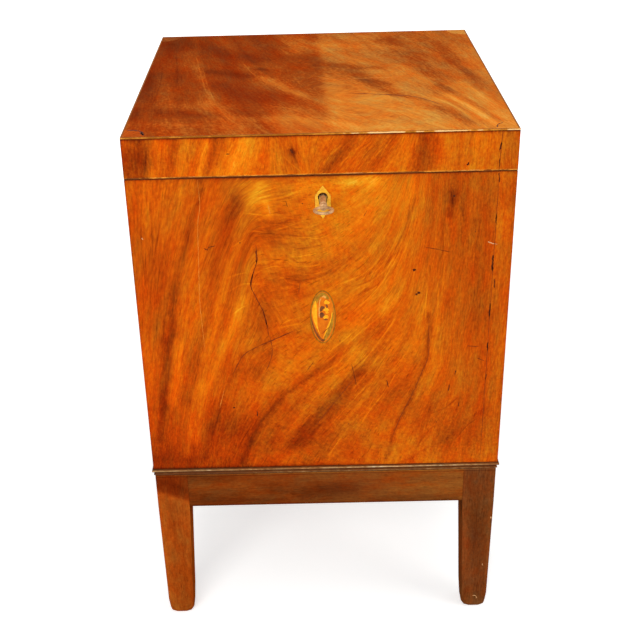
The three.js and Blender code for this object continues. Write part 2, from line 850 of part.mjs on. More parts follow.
// The lock's body: front plate, four walls, the plate in the rim with two slots, and the bolt's stumps.
function lockCaseGeometry() {
  const top = caseHeight - selvedgeThickness;
  const foot = caseHeight - lockHeight;
  const shell = block(
    around(keyAxisX, lockHalfWidth),
    [lockFront, innerFront],
    [foot, caseHeight - selvedgeThickness / 2],
  );
  const inner = block(
    around(keyAxisX, lockHalfWidth - lockPlate),
    [lockFront + lockPlate, innerFront + cutOverrun],
    [foot + lockPlate, caseHeight - selvedgeThickness - lockPlate],
  );
  const selvedge = block(around(keyAxisX, selvedgeHalfWidth), [lockFront, innerFront], [top, caseHeight]);
  const slots = [-stapleSpread, stapleSpread].map((x) =>
    block(
      around(keyAxisX + x, stapleThickness / 2 + fitGap * 2),
      around(lockMiddle, stapleWidth / 2 + fitGap * 2),
      [top - lockPlate - cutOverrun, caseHeight + cutOverrun],
    ),
  );
  const plateRange = [lockFront - cutOverrun, lockFront + lockPlate + fitGap];
  const keyway = keyAxisSlot(plateRange);
  const boltFace = lockMiddle - boltThickness / 2 - fitGap;
  const stumps = stumpPlaces().flatMap(([x, z]) => [
    rodAlongY(stumpShoulder, [lockFront + lockPlate / 2, boltFace], x, z, keySides),
    rodAlongY(stumpRadius, [lockFront + lockPlate / 2, innerFront - lockPlate - fitGap], x, z, keySides),
  ]);
  const hollow = cut(join(shell, selvedge), inner, capSpace(), ...slots, ...keyway);
  return join(hollow, ...stumps);
}

// The way through the lock's front plate: a round hole for the shank and a slot below it for the bit.
function keyAxisSlot(yRange) {
  const slotHalf = keyBitThickness / 2 + turnGap;
  return [
    rodAlongY(keyShankRadius + turnGap, yRange, keyAxisX, keyAxisZ, keySides),
    block(around(keyAxisX, slotHalf), yRange, [keyAxisZ - keyBitRadius - turnGap, keyAxisZ]),
  ];
}

function capRange(gap) {
  const halfX = lockHalfWidth - lockPlate / 2 - gap;
  const foot = caseHeight - lockHeight + lockPlate / 2 + gap;
  const top = caseHeight - selvedgeThickness - lockPlate - gap;
  return [around(keyAxisX, halfX), [foot, top]];
}

// The rebate that the cap drops into, around the open back of the lock.
function capSpace() {
  const [xs, zs] = capRange(0);
  return block(xs, [innerFront - lockPlate, innerFront + cutOverrun], zs);
}

// The cap closes the lock's back and carries the pin that the hollow key turns on.
function lockCapGeometry() {
  const [xs, zs] = capRange(fitGap);
  const inside = innerFront - lockPlate + glueGap;
  const plate = block(xs, [inside, innerFront], zs);
  const pinRange = [inside - drillPinLength, innerFront - lockPlate / 2];
  const pin = rodAlongY(drillPinRadius, pinRange, keyAxisX, keyAxisZ, keySides);
  return join(plate, pin);
}

// The bolt: a bar with a notch for the key below, two stump slots and two fingers that point left.
function lockBoltGeometry() {
  const top = caseHeight - boltTop;
  const thick = around(lockMiddle, boltThickness / 2);
  const stemStart = stapleThickness / 2 + fingerClearance + fingerLength;
  const stemEnd = stemStart + fingerStem;
  const rightReach = stapleSpread + stemEnd;
  const bar = block([keyAxisX - boltLeftReach, keyAxisX + rightReach], thick, [top - boltHeight, top]);
  const eyeMiddle = caseHeight - stapleEyeTop - stapleEyeHeight / 2;
  const fingerHalf = stapleEyeHeight / 2 - fitGap - fitGap / 2;
  const fingers = [-stapleSpread, stapleSpread].flatMap((x) => {
    const staple = keyAxisX + x;
    return [
      block([staple + stemStart, staple + stemEnd], thick, [top - boltHeight / 2, eyeMiddle + fingerHalf]),
      block(
        [staple + stemStart - fingerLength, staple + stemStart + fingerStem / 2],
        thick,
        around(eyeMiddle, fingerHalf),
      ),
    ];
  });
  const anyDepth = around(lockMiddle, boltThickness);
  const talon = block(
    around(keyAxisX + talonOffset, talonWidth / 2),
    anyDepth,
    [top - boltHeight - cutOverrun, top - boltHeight + talonDepth],
  );
  const slotHalf = stumpRadius + fitGap;
  const slots = stumpPlaces().map(([x, z]) =>
    block([x - boltThrowRight - slotHalf, x + boltThrowLeft + slotHalf], anyDepth, around(z, slotHalf)),
  );
  return cut(join(bar, ...fingers), talon, ...slots);
}

// The key at rest: its bow lies flat and its bit points right. Its axis is x = 0, z = 0, and the case's
// front face is y = 0.
function keyGeometry() {
  const tip = innerFront + halfDepth - lockPlate - keyTipGap;
  const collar = (y) => [
    [keyShankRadius, y],
    [keyCollarRadius, y + keyCollarLength / 4],
    [keyCollarRadius, y + (keyCollarLength * 3) / 4],
    [keyShankRadius, y + keyCollarLength],
  ];
  const shoulder = -keyShoulderReach;
  const profile = [
    [0, shoulder - keyBowSink / 2],
    [keyShankRadius - keyBowSink / 2, shoulder - keyBowSink / 2],
    ...collar(shoulder),
    ...collar(shoulder + keyCollarPitch),
    [keyShankRadius, tip],
    [keyBoreRadius, tip],
    [keyBoreRadius, tip - keyBoreLength],
    [0, tip - keyBoreLength],
  ];
  const shank = new THREE.LatheGeometry(profile.map(([r, y]) => new THREE.Vector2(r, y)), keySides);
  const ringRadius = keyBowHalfWidth - keyBowWire;
  const bow = new THREE.TorusGeometry(ringRadius, keyBowWire, bowSides, bowSteps)
    .scale(1, keyBowLength / 2 / keyBowHalfWidth, 1)
    .translate(0, shoulder + keyBowSink - keyBowLength / 2, 0);
  const bitEnd = tip - turnGap;
  const bit = block(
    [(keyShankRadius + keyBoreRadius) / 2, keyBitRadius],
    [bitEnd - keyBitLength, bitEnd],
    around(0, keyBitThickness / 2),
  );
  return join(shank, bow, bit);
}

function makeLock() {
  const lock = new THREE.Group();
  lock.position.z = standHeight + glueGap;
  piece(lock, "lock_case", lockCaseGeometry(), finish.brass);
  piece(lock, "lock_cap", lockCapGeometry(), finish.brass);
  piece(lock, "lock_bolt", lockBoltGeometry(), finish.brass);
  const key = piece(lock, "key", keyGeometry(), finish.steel);
  key.position.set(keyAxisX, -halfDepth, keyAxisZ);
  return lock;
}

// Hinges: the barrel's middle is the origin, and the barrel lies along x.

function knuckleSpans() {
  const pitch = hingeLength / hingeKnuckles;
  return Array.from({ length: hingeKnuckles }, (_, i) =>
    around((i + 1 / 2) * pitch - hingeLength / 2, pitch / 2 - fitGap / 2),
  );
}

// One leaf with its knuckles. up is -1 for the case's leaf, with the odd knuckles, and 1 for the lid's.
function hingeLeaf(up) {
  const owned = up < 0 ? 0 : 1;
  const spans = knuckleSpans();
  const near = (up * jointGap) / 2;
  const levels = [near, near + up * hingeLeafThickness].sort((a, b) => a - b);
  const plate = block(around(0, hingeLength / 2 - fitGap / 2), [-hingeLeafWidth, 0], levels);
  const knuckles = spans
    .filter((_, i) => i % 2 === owned)
    .map((span) => rodAlongX(hingeBarrelRadius, span, 0, 0, hingeSides));
  const clearances = spans
    .filter((_, i) => i % 2 !== owned)
    .map(([x0, x1]) => [x0 - fitGap, x1 + fitGap])
    .map((span) => rodAlongX(hingeBarrelRadius + turnGap, span, 0, 0, hingeSides));
  const bore = rodAlongX(hingePinRadius + hingePinGap, around(0, hingeLength), 0, 0, hingeSides);
  const bared = cut(plate, ...clearances);
  return cut(join(bared, ...knuckles), bore);
}

function makeHinges() {
  const hinges = new THREE.Group();
  hinges.position.set(0, hingeAxisY, standHeight + glueGap + caseHeight + jointGap / 2);
  for (const [side, name] of [[-1, "left"], [1, "right"]]) {
    const hinge = new THREE.Group();
    hinge.position.x = side * hingeSpread;
    piece(hinge, `hinge_${name}_case_leaf`, hingeLeaf(-1), finish.brass);
    piece(hinge, `hinge_${name}_lid_leaf`, hingeLeaf(1), finish.brass);
    const pin = rodAlongX(hingePinRadius, around(0, hingeLength / 2 - fitGap / 2), 0, 0, hingeSides);
    piece(hinge, `hinge_${name}_pin`, pin, finish.brass);
    hinges.add(hinge);
  }
  return hinges;
}

// Carrying handles: the bail's axis is y, at the origin, and the case's side is x = -postStand.

// A turned post: rose, neck and eye outside, and a shank through the case's side to a nut inside.
function postGeometry() {
  const face = -postStand + glueGap;
  const wall = halfWidth - innerHalfWidth;
  const nutFace = -postStand - wall - fitGap;
  const eyeArc = Array.from({ length: postSides / 2 }, (_, i) => {
    const turn = (i / (postSides / 2)) * (Math.PI * 3 / 4) + Math.PI / 4;
    return [postEyeRadius * Math.sin(turn), -postEyeRadius * Math.cos(turn)];
  });
  const profile = [
    [0, nutFace - postNutThickness - postShankRadius / 2],
    [postShankRadius, nutFace - postNutThickness - postShankRadius / 2],
    [postShankRadius, nutFace - postNutThickness],
    [postNutRadius, nutFace - postNutThickness],
    [postNutRadius, nutFace],
    [postShankRadius, nutFace],
    [postShankRadius, face],
    [roseRadius, face],
    [roseRadius, face + roseThickness / 2],
    [roseRadius - roseThickness, face + roseThickness],
    [postNeckRadius, face + roseThickness],
    ...eyeArc,
    [0, postEyeRadius],
  ];
  const turned = new THREE.LatheGeometry(profile.map(([r, s]) => new THREE.Vector2(r, s)), postSides);
  const eye = rodAlongY(bailEndRadius + turnGap, around(0, postEyeRadius * 2), 0, 0, postSides);
  return cut(turned.rotateZ(-Math.PI / 2), eye);
}

// The bail hangs in the plane x = 0: its ends lie in the eyes, its necks curve out and its grip is thick.
// Each half runs from its end in the eye past knee, waist, elbow and sole to the middle of the grip.
function bailGeometry() {
  const inside = postSpread - postEyeRadius - turnGap;
  const neckIn = inside - bailEndRadius - turnGap;
  const half = [
    [-postSpread - bailEyeReach, 0],
    [-postSpread, 0],
    [-inside, 0],
    [-neckIn, -bailDrop * bailKneeDropShare],
    [-neckIn - bailDrop * bailWaistInShare, -bailDrop * bailWaistDropShare],
    [-postSpread + bailDrop * bailElbowInShare, -bailDrop * bailElbowDropShare],
    [-postSpread * bailSoleSpreadShare, -bailDrop * bailSoleDropShare],
    [0, -bailDrop],
  ];
  const points = [...half, ...half.slice(0, -1).reverse().map(([y, z]) => [-y, z])];
  const knots = points.map(([y, z]) => new THREE.Vector3(0, y, z));
  const curve = new THREE.CatmullRomCurve3(knots, false, "centripetal");
  const rings = Array.from({ length: bailSteps + 1 }, (_, i) => {
    const share = i / bailSteps;
    const at = curve.getPointAt(share);
    const ahead = curve.getTangentAt(share);
    const normal = new THREE.Vector3(0, -ahead.z, ahead.y);
    const gripShare = Math.max(0, 1 - Math.abs(share - 1 / 2) * 4) ** 2;
    const radius = bailEndRadius + (bailGripRadius - bailEndRadius) * gripShare * (3 - 2 * gripShare);
    return Array.from({ length: bailSides }, (_, k) => {
      const turn = (k / bailSides) * Math.PI * 2;
      return at
        .clone()
        .addScaledVector(new THREE.Vector3(1, 0, 0), radius * Math.cos(turn))
        .addScaledVector(normal, -radius * Math.sin(turn));
    });
  });
  return loft(rings);
}

function makeHandles() {
  const handles = new THREE.Group();
  handles.position.z = standHeight + glueGap + handleRise;
  for (const [side, name, turn] of [[-1, "left", Math.PI], [1, "right", 0]]) {
    const handle = new THREE.Group();
    handle.position.x = side * (halfWidth + postStand);
    handle.rotation.z = turn;
    for (const [end, place] of [[-1, "front"], [1, "back"]]) {
      const post = piece(handle, `handle_${name}_${place}_post`, postGeometry(), finish.brass);
      post.position.y = side * end * postSpread;
    }
    piece(handle, `handle_${name}_bail`, bailGeometry(), finish.brass);
    handles.add(handle);
  }
  return handles;
}

// The origin is on the floor, under the middle of the whole depth: from the key's bow to the back moulding.
const cellarette = new THREE.Group();
const body = new THREE.Group();
body.position.y = (keyReach - mouldingReach) / 2;
body.add(makeStand(), makeCase(), makeLid(), makeLock(), makeHinges(), makeHandles());
cellarette.add(body);

export default cellarette;
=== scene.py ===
"""Looks for the cellarette: figured mahogany veneer, boxwood lines, marquetry, brass and steel.

Places and sizes are in millimetres, and MM turns them into metres where a mesh is made.
"""
import json
import math
from math import cos, pi, radians, sin

import bmesh
import bpy
import numpy as np
from mathutils import Matrix, Vector


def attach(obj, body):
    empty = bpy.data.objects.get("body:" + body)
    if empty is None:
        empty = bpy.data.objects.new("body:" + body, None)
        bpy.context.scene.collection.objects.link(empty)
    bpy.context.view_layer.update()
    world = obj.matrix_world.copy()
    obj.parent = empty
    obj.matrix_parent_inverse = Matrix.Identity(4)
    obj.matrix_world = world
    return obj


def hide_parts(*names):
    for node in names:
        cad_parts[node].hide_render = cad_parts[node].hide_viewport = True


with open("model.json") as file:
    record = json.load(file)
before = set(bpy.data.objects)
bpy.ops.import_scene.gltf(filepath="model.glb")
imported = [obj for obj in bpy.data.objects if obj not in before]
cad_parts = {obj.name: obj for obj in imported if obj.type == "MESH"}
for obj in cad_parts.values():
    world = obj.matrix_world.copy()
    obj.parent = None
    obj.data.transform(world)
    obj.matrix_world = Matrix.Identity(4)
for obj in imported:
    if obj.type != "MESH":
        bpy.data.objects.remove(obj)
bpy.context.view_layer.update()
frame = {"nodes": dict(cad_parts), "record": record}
nodes = frame["nodes"]
record = frame["record"]
body_of = {n: b for b, names in record["behaviour"]["bodies"].items() for n in names}
slot_of = {e["node"]: e["material_slot"] for e in record["subparts"]}

MM = 0.001
X, Y, Z = 0, 1, 2
SHIFT = 22.65               # the case's middle is this far behind the origin
HALF = 220                  # half the case's width and depth
FRONT = -HALF + SHIFT       # the front veneer's face
BACK = HALF + SHIFT
CASE_FOOT = 246.35          # heights above the floor
CASE_RIM = CASE_FOOT + 396.4
LID_RIM = CASE_RIM + 0.8
LID_HEIGHT = 48.8
LID_TOP = LID_RIM + LID_HEIGHT
EDGE_STRING = 2             # heights of the boxwood lines at the lid's top edge and rim
RIM_STRING = 1.5
SUNK = 0.06                 # the top veneer lies this far below its stringing
MOULDING = 11               # the moulding's height
RAIL = 61                   # the rails' height with the moulding
LEG_FACE = 218.7            # the legs' outer faces, from the case's middle
TAPER_TOP = 185             # they taper below this height
# The legs' inner sides get painted shade.
INNER_SIDE, SLANT = 39.5, 0.038     # the dark of their inner sides, from the outer faces, and its slant
LEG_BACK, LEG_LEAN = 1.3, 1.5       # their fronts behind the case's, at the top and added at the foot
KEY_X, KEY_UP = 2.0, 370    # the key's middle: across, and above the foot of the case
KEY_Z = CASE_FOOT + KEY_UP
FINE = 0.5                  # step of the fine slices


# Numbers written as text, to keep long tables short.

def pairs(text):
    """Pairs written as a,b with spaces between."""
    return [tuple(float(v) for v in word.split(",")) for word in text.split()]


def paths(text):
    """A path of points to a line."""
    return [pairs(line) for line in text.strip().splitlines()]


def rows(text):
    """Numbers, a colon and a path of points to a line. Gives (points, number, ...) for each."""
    halves = [line.split(":") for line in text.strip().splitlines()]
    return [(pairs(points), *map(float, numbers.split())) for numbers, points in halves]


def rgb(code):
    """A screen colour written as rrggbb."""
    levels = [int(code[k:k + 2], 16) / 255 for k in (0, 2, 4)]
    return (*(v / 12.92 if v <= 0.04045 else ((v + 0.055) / 1.055) ** 2.4 for v in levels), 1.0)


def ramp(text):
    """Places and screen colours in turn."""
    words = text.split()
    return [(float(place), rgb(code)) for place, code in zip(words[::2], words[1::2])]


# Camera, as fitted to the case's corners in the photograph. Pixels, degrees and millimetres.
PICTURE = 640
FOCAL = 1091.109
AXIS = (299.543, 275.877)
TURNS = (-0.4352, 26.5833, -1.5259)
EYE = (-17.868, -1358.583 + SHIFT, 1087.853)
FILM = 36


def make_camera():
    yaw, pitch, roll = (radians(a) for a in TURNS)
    forward = Vector((sin(yaw) * cos(pitch), cos(yaw) * cos(pitch), -sin(pitch)))
    right = Vector((cos(yaw), -sin(yaw), 0))
    up = right.cross(forward)
    turned_right = right * cos(roll) + up * sin(roll)
    turned_up = -right * sin(roll) + up * cos(roll)
    data = bpy.data.cameras.new("camera")
    data.sensor_width = FILM
    data.lens = FOCAL / PICTURE * FILM
    data.shift_x = (PICTURE / 2 - AXIS[0]) / PICTURE
    data.shift_y = (AXIS[1] - PICTURE / 2) / PICTURE
    data.clip_end = 50
    camera = bpy.data.objects.new("camera", data)
    axes = Matrix((turned_right, turned_up, -forward)).transposed().to_4x4()
    axes.translation = Vector(EYE) * MM
    camera.matrix_world = axes
    link(camera)
    bpy.context.scene.camera = camera


def link(obj):
    bpy.context.scene.collection.objects.link(obj)
    return obj


make_camera()


# Node trees

class Tree:
    """A node tree, with short names for the nodes used here. Values may be numbers or sockets."""

    def __init__(self, tree):
        self.tree = tree
        tree.nodes.clear()

    def node(self, kind, **settings):
        made = self.tree.nodes.new(kind)
        for key, value in settings.items():
            setattr(made, key, value)
        return made

    def put(self, socket, value):
        if isinstance(value, bpy.types.NodeSocket):
            self.tree.links.new(value, socket)
        else:
            socket.default_value = value

    def filled(self, made, *values, out=0):
        for socket, value in zip(made.inputs, values):
            self.put(socket, value)
        return made.outputs[out]

    def math(self, operation, a, b, clamp=False):
        return self.filled(self.node("ShaderNodeMath", operation=operation, use_clamp=clamp), a, b)

    def add(self, first, *others):
        for other in others:
            first = self.math("ADD", first, other)
        return first

    def times(self, a, b):
        return self.math("MULTIPLY", a, b)

    def vector(self, operation, a, b):
        return self.filled(self.node("ShaderNodeVectorMath", operation=operation), a, b)

    def noise(self, spot, scale, detail=2.0, rough=0.5, out="Fac"):
        made = self.node("ShaderNodeTexNoise")
        self.put(made.inputs["Vector"], self.vector("MULTIPLY", spot, scale))
        for name, value in (("Scale", 1.0), ("Detail", detail), ("Roughness", rough)):
            made.inputs[name].default_value = value
        return made.outputs[out]

    def ramp(self, value, stops):
        made = self.node("ShaderNodeValToRGB")
        parts = made.color_ramp.elements
        while len(parts) < len(stops):
            parts.new(0.5)
        for part, (place, colour) in zip(parts, stops):
            part.position = place
            part.color = colour
        return self.filled(made, value)

    def fade(self, value, low, high):
        """0 below low, 1 above high, straight between."""
        return self.filled(self.node("ShaderNodeMapRange", clamp=True), value, low, high)

    def mix(self, share, a, b, blend="MIX"):
        made = self.node("ShaderNodeMix", data_type="RGBA", blend_type=blend)
        for socket, value in ((0, share), (6, a), (7, b)):
            self.put(made.inputs[socket], value)
        return made.outputs[2]

    def attribute(self, name, out="Fac"):
        return self.node("ShaderNodeAttribute", attribute_type="GEOMETRY", attribute_name=name).outputs[out]

    def place(self, seed=None, second=1.0, third=1.0):
        """The place on the object, moved by a seed and its shares, if there is one."""
        place = self.node("ShaderNodeTexCoord").outputs["Object"]
        return place if seed is None else self.vector("ADD", place, (seed, seed * second, seed * third))

    def seen(self):
        """1 for what the camera sees, also in a mirror or through glass."""
        path = self.node("ShaderNodeLightPath").outputs
        mirrored = self.math("ADD", path["Is Camera Ray"], path["Is Glossy Ray"], clamp=True)
        return self.math("ADD", mirrored, path["Is Transmission Ray"], clamp=True)


class Look(Tree):
    """A material with one shader."""

    def __init__(self, name):
        self.material = bpy.data.materials.new(name)
        self.material.use_nodes = True
        super().__init__(self.material.node_tree)
        self.shader = self.node("ShaderNodeBsdfPrincipled")
        self.out = self.node("ShaderNodeOutputMaterial")
        self.put(self.out.inputs["Surface"], self.shader.outputs[0])

    def finish(self, colour, rough, gloss=None):
        self.put(self.shader.inputs["Base Color"], colour)
        self.put(self.shader.inputs["Roughness"], rough)
        if gloss is not None:
            self.shader.inputs["Specular IOR Level"].default_value = gloss
        return self.material

    def bump(self, height, strength, distance):
        made = self.node("ShaderNodeBump")
        for name, value in (("Strength", strength), ("Distance", distance), ("Height", height)):
            self.put(made.inputs[name], value)
        self.put(self.shader.inputs["Normal"], made.outputs[0])


# How the hue drifts: multiplies a colour, and the middle grey leaves it as it is.
GREY = (0.5, 0.5, 0.5, 1)
TINTS = [(0.3, (0.54, 0.34, 0.2, 1)), (0.5, (0.5, 0.51, 0.5, 1)), (0.68, (0.45, 0.68, 1.0, 1))]


def wood(name, stops, figure=0.5, streak=0.5, hair=0.6, wave=0.016, pore=0.35, rough=0.34, gloss=0.06,
         seed=0.0, redden=0.12, bump=0.12, shift=0.0, mottled=0.2, fibre=26, tints=0.5):
    """Wood whose grain runs along the third value of each piece's grain attribute.

    Noise scales are per metre of depth, of width and of length along the grain.
    """
    t = Look(name)
    grain = t.vector("ADD", t.attribute("grain", "Vector"), (seed, seed * 1.7, seed * 0.6))
    wander = t.vector("SUBTRACT", t.noise(grain, (7, 7, 3), out="Color"), (0.5, 0.5, 0.5))
    grain = t.vector("ADD", grain, t.vector("MULTIPLY", wander, (wave, wave, wave * 0.5)))
    band = t.noise(grain, (24, 24, 2.6), 3.0, 0.55)
    line = t.noise(grain, (110, 110, 7), 4.0, 0.6)
    thread = t.noise(grain, (520, 520, fibre), 3.0, 0.6)
    mottle = t.noise(grain, (380, 380, 250), 4.0, 0.65)
    swings = [t.times(t.math("SUBTRACT", noise, 0.5), amount)
              for noise, amount in ((band, figure), (line, streak), (thread, hair), (mottle, mottled))]
    # Dark and light strokes break up along the grain.
    strokes = t.times(t.attribute("tone"), t.add(t.times(line, 1.1), 0.45))
    colour = t.ramp(t.add(*swings, strokes, 0.5 + shift), stops)
    cloud = t.noise(grain, (9, 9, 7))
    colour = t.mix(t.times(t.fade(cloud, 0.42, 0.7), redden), colour, rgb("961e05"))
    # The hue drifts between red and yellow, in patches and in fine spots.
    hue = t.add(t.noise(grain, (60, 60, 26), 6.0, 0.72), t.attribute("hue"))
    tint = t.mix(tints, GREY, t.ramp(hue, TINTS))
    colour = t.vector("MULTIPLY", t.vector("MULTIPLY", colour, tint), (2, 2, 2))
    holes = t.fade(t.noise(grain, (1500, 1500, 90), 1.0), 0.6, 0.72)
    colour = t.mix(t.times(holes, pore), colour, rgb("3c1404"), "MULTIPLY")
    relief = t.math("SUBTRACT", t.add(t.times(line, 1.2), t.times(thread, 0.5)), t.times(holes, 0.5))
    t.bump(relief, bump, 0.0006)
    return t.finish(colour, t.add(t.times(thread, 0.22), rough - 0.11), gloss)


def boxwood(name, colours, seed, wear, gloss=0.3):
    """Pale wood, grimy or worn. The tone attribute says where it is clean, and where most worn."""
    light, dark, worn = map(rgb, colours.split())
    t = Look(name)
    spot = t.place(seed, 0.3, 0.7)
    grime = t.noise(spot, (90, 90, 160), 4.0, 0.65)
    fine = t.noise(spot, (700, 700, 900))
    tone = t.attribute("tone")
    colour = t.mix(t.fade(t.add(grime, tone), 0.36, 0.62), dark, light)
    colour = t.mix(t.times(t.fade(fine, 0.5, 0.7), 0.3), colour, dark)
    rubbed = t.fade(t.add(t.noise(spot, (28, 28, 60), 4.0, 0.7), tone), 0.6, 0.66)
    t.bump(t.add(grime, t.times(fine, 0.4)), 0.15, 0.0004)
    return t.finish(t.mix(t.times(rubbed, wear), colour, worn), t.add(t.times(grime, 0.25), 0.4), gloss)


def metal(name, colours, rough, seed, tarnish=0.6, share=1.0):
    """Old metal, darker in patches and lighter in fine spots."""
    colour, dark, light = map(rgb, colours.split())
    t = Look(name)
    spot = t.place(seed)
    patch = t.noise(spot, (120, 120, 120), 4.0, 0.6)
    fine = t.noise(spot, (1400, 1400, 1400))
    base = t.mix(t.times(t.fade(patch, 0.42, 0.66), tarnish), colour, dark)
    base = t.mix(t.times(t.fade(fine, 0.52, 0.7), 0.3), base, light)
    t.shader.inputs["Metallic"].default_value = share
    t.bump(t.add(patch, t.times(fine, 0.3)), 0.08, 0.0005)
    return t.finish(base, t.add(t.times(patch, 0.3), rough - 0.1))


def stain(name, colours, seed, scale=1.0):
    """Small pieces and marks: one colour that drifts a little."""
    light, dark = map(rgb, colours.split())
    t = Look(name)
    grime = t.noise(t.place(seed, 0.4, 0.8), (400 * scale, 400 * scale, 170 * scale), 3.0, 0.6)
    return t.finish(t.mix(t.fade(grime, 0.36, 0.64), dark, light), t.add(t.times(grime, 0.2), 0.4), 0.06)


FRONT_STOPS = ramp("0 5c1e05 0.22 923806 0.42 c15308 0.58 db6c0a 0.76 ec8812 1 fab030")
# The top's lightest stops carry extra blue: a painted sheen for the reflecting right half.
TOP_STOPS = ramp("0 58200c 0.28 843512 0.46 a54a16 0.62 cb6c24 0.8 e3842c 1 f4a040")
SIDE_STOPS = ramp("0 522004 0.25 823805 0.5 a85008 0.7 c4660c 1 e48c1c")
STAND_STOPS = ramp("0 3e1c08 0.3 652c0b 0.5 7d3a10 0.7 964a14 1 bc641e")
LEG_STOPS = ramp("0 3c1a0a 0.3 582c12 0.5 6c3816 0.7 84441c 1 a85c26")
# The moulding's pale top stops serve its painted highlights.
MOULDING_STOPS = ramp("0 3e1c0a 0.3 643416 0.5 7a4a24 0.72 a27444 1 e0b686")
BACK_STOPS = ramp("0 56260e 0.3 783814 0.5 92481a 0.7 a85822 1 c67436")
BOARD_STOPS = ramp("0 60361a 0.4 8c542c 0.7 a4683a 1 be8250")
RACK_STOPS = ramp("0 683a1a 0.4 92582c 0.7 aa6c3c 1 c48a56")

panel = dict(figure=0.4, streak=0.3, hair=0.32, wave=0.012, gloss=0.012, fibre=60, tints=0.9)
side = dict(figure=1.1, streak=0.6, wave=0.05, gloss=0.004)
leg = dict(streak=0.3, hair=0.4, rough=0.5, gloss=0.0, wave=0.03, mottled=0.5, fibre=60, tints=0.8)
bare = dict(figure=1.0, streak=0.9, pore=0.5, bump=0.3)
looks = {
    "front_veneer": wood("front_mahogany", FRONT_STOPS, seed=0.3, shift=-0.04, mottled=0.45, **panel),
    "lid_front_veneer": wood("lid_front_mahogany", FRONT_STOPS, seed=1.3, shift=-0.03, mottled=0.5, **panel),
    "top_veneer": wood("top_mahogany", TOP_STOPS, figure=0.5, streak=0.18, hair=0.26, wave=0.03, seed=2.1,
                       rough=0.3, gloss=0.0, redden=0.25, pore=0.16, mottled=0.42, fibre=60, tints=0.9),
    "side_veneer": wood("side_mahogany", SIDE_STOPS, seed=3.4, **side),
    "lid_side_veneer": wood("lid_side_mahogany", SIDE_STOPS, seed=4.2, **side),
    "stand_leg": wood("leg_mahogany", LEG_STOPS, figure=0.5, seed=5.1, **leg),
    "stand_rail": wood("rail_mahogany", STAND_STOPS, figure=0.4, streak=0.25, hair=0.3, seed=6.1, rough=0.5,
                       gloss=0.0, wave=0.03, mottled=0.4, fibre=60, tints=0.9),
    "moulding": wood("moulding_mahogany", MOULDING_STOPS, figure=0.15, streak=0.2, hair=0.4, seed=7.1,
                     rough=0.4, gloss=0.04, redden=0.0, mottled=0.4, fibre=90),
    "case_board": wood("case_board_wood", BOARD_STOPS, seed=8.1, rough=0.62, redden=0.1, **bare),
    "lid_board": wood("lid_board_wood", BOARD_STOPS, seed=9.1, rough=0.6, redden=0.1, **bare),
    "rack_board": wood("rack_wood", RACK_STOPS, seed=10.1, rough=0.66, redden=0.06, **bare),
    "edge_stringing": boxwood("edge_boxwood", "ce8228 965410 f4c684", 0.2, 0.9, 0.05),
    "rim_stringing": boxwood("rim_boxwood", "e8922c 7c3a0c f8b460", 0.9, 0.6, 0.08),
    "escutcheon": boxwood("escutcheon_boxwood", "fabe24 d68c16 fcd65a", 1.7, 0.4),
    "patera_band": stain("patera_line", "b07416 804a12", 0.6),
    "patera_ground": stain("patera_orange", "e27610 cc600a", 1.6, 0.5),
    "lock_brass": metal("lock_brass", "c4984e 785426 e2be78", 0.36, 0.4),
    "hinge_brass": metal("hinge_brass", "be924a 704e24 e0ba74", 0.38, 1.4),
    "handle_brass": metal("handle_brass", "cca054 7e5828 eccc8a", 0.28, 2.4),
    "key_steel": metal("key_steel", "c89864 724c2e eec68a", 0.5, 3.4, tarnish=0.8, share=0.35),
}
BACK_BOARD = wood("back_mahogany", BACK_STOPS, figure=0.9, streak=0.7, seed=11.1, rough=0.5, gloss=0.02,
                  pore=0.5, wave=0.03)
ORANGE_LEG = wood("front_left_leg_mahogany", STAND_STOPS, figure=0.6, seed=5.6, shift=0.26, **leg)
CRACK = stain("crack_dark", "602608 3a1405", 2.2)
SOFT_CRACK = stain("crack_soft", "843208 622206", 4.6)
FAINT = stain("crack_faint", "8c3a0a 702a08", 2.9)
SCRATCH = stain("scratch_pale", "e28e34 d2721c", 3.3)
PALE = stain("chip_pale", "e2b27c c88e58", 3.9)
# Painted shade of the keyhole's inside, with dirt round it.
KEYHOLE_SHADE_AND_DIRT = stain("keyhole_shade_and_dirt", "4a1a08 321005", 4.1)


# Grain that bends over a panel: strokes laid along the figure give its direction everywhere, and two
# smooth coordinates, one across and one along the grain, are fitted to those directions.

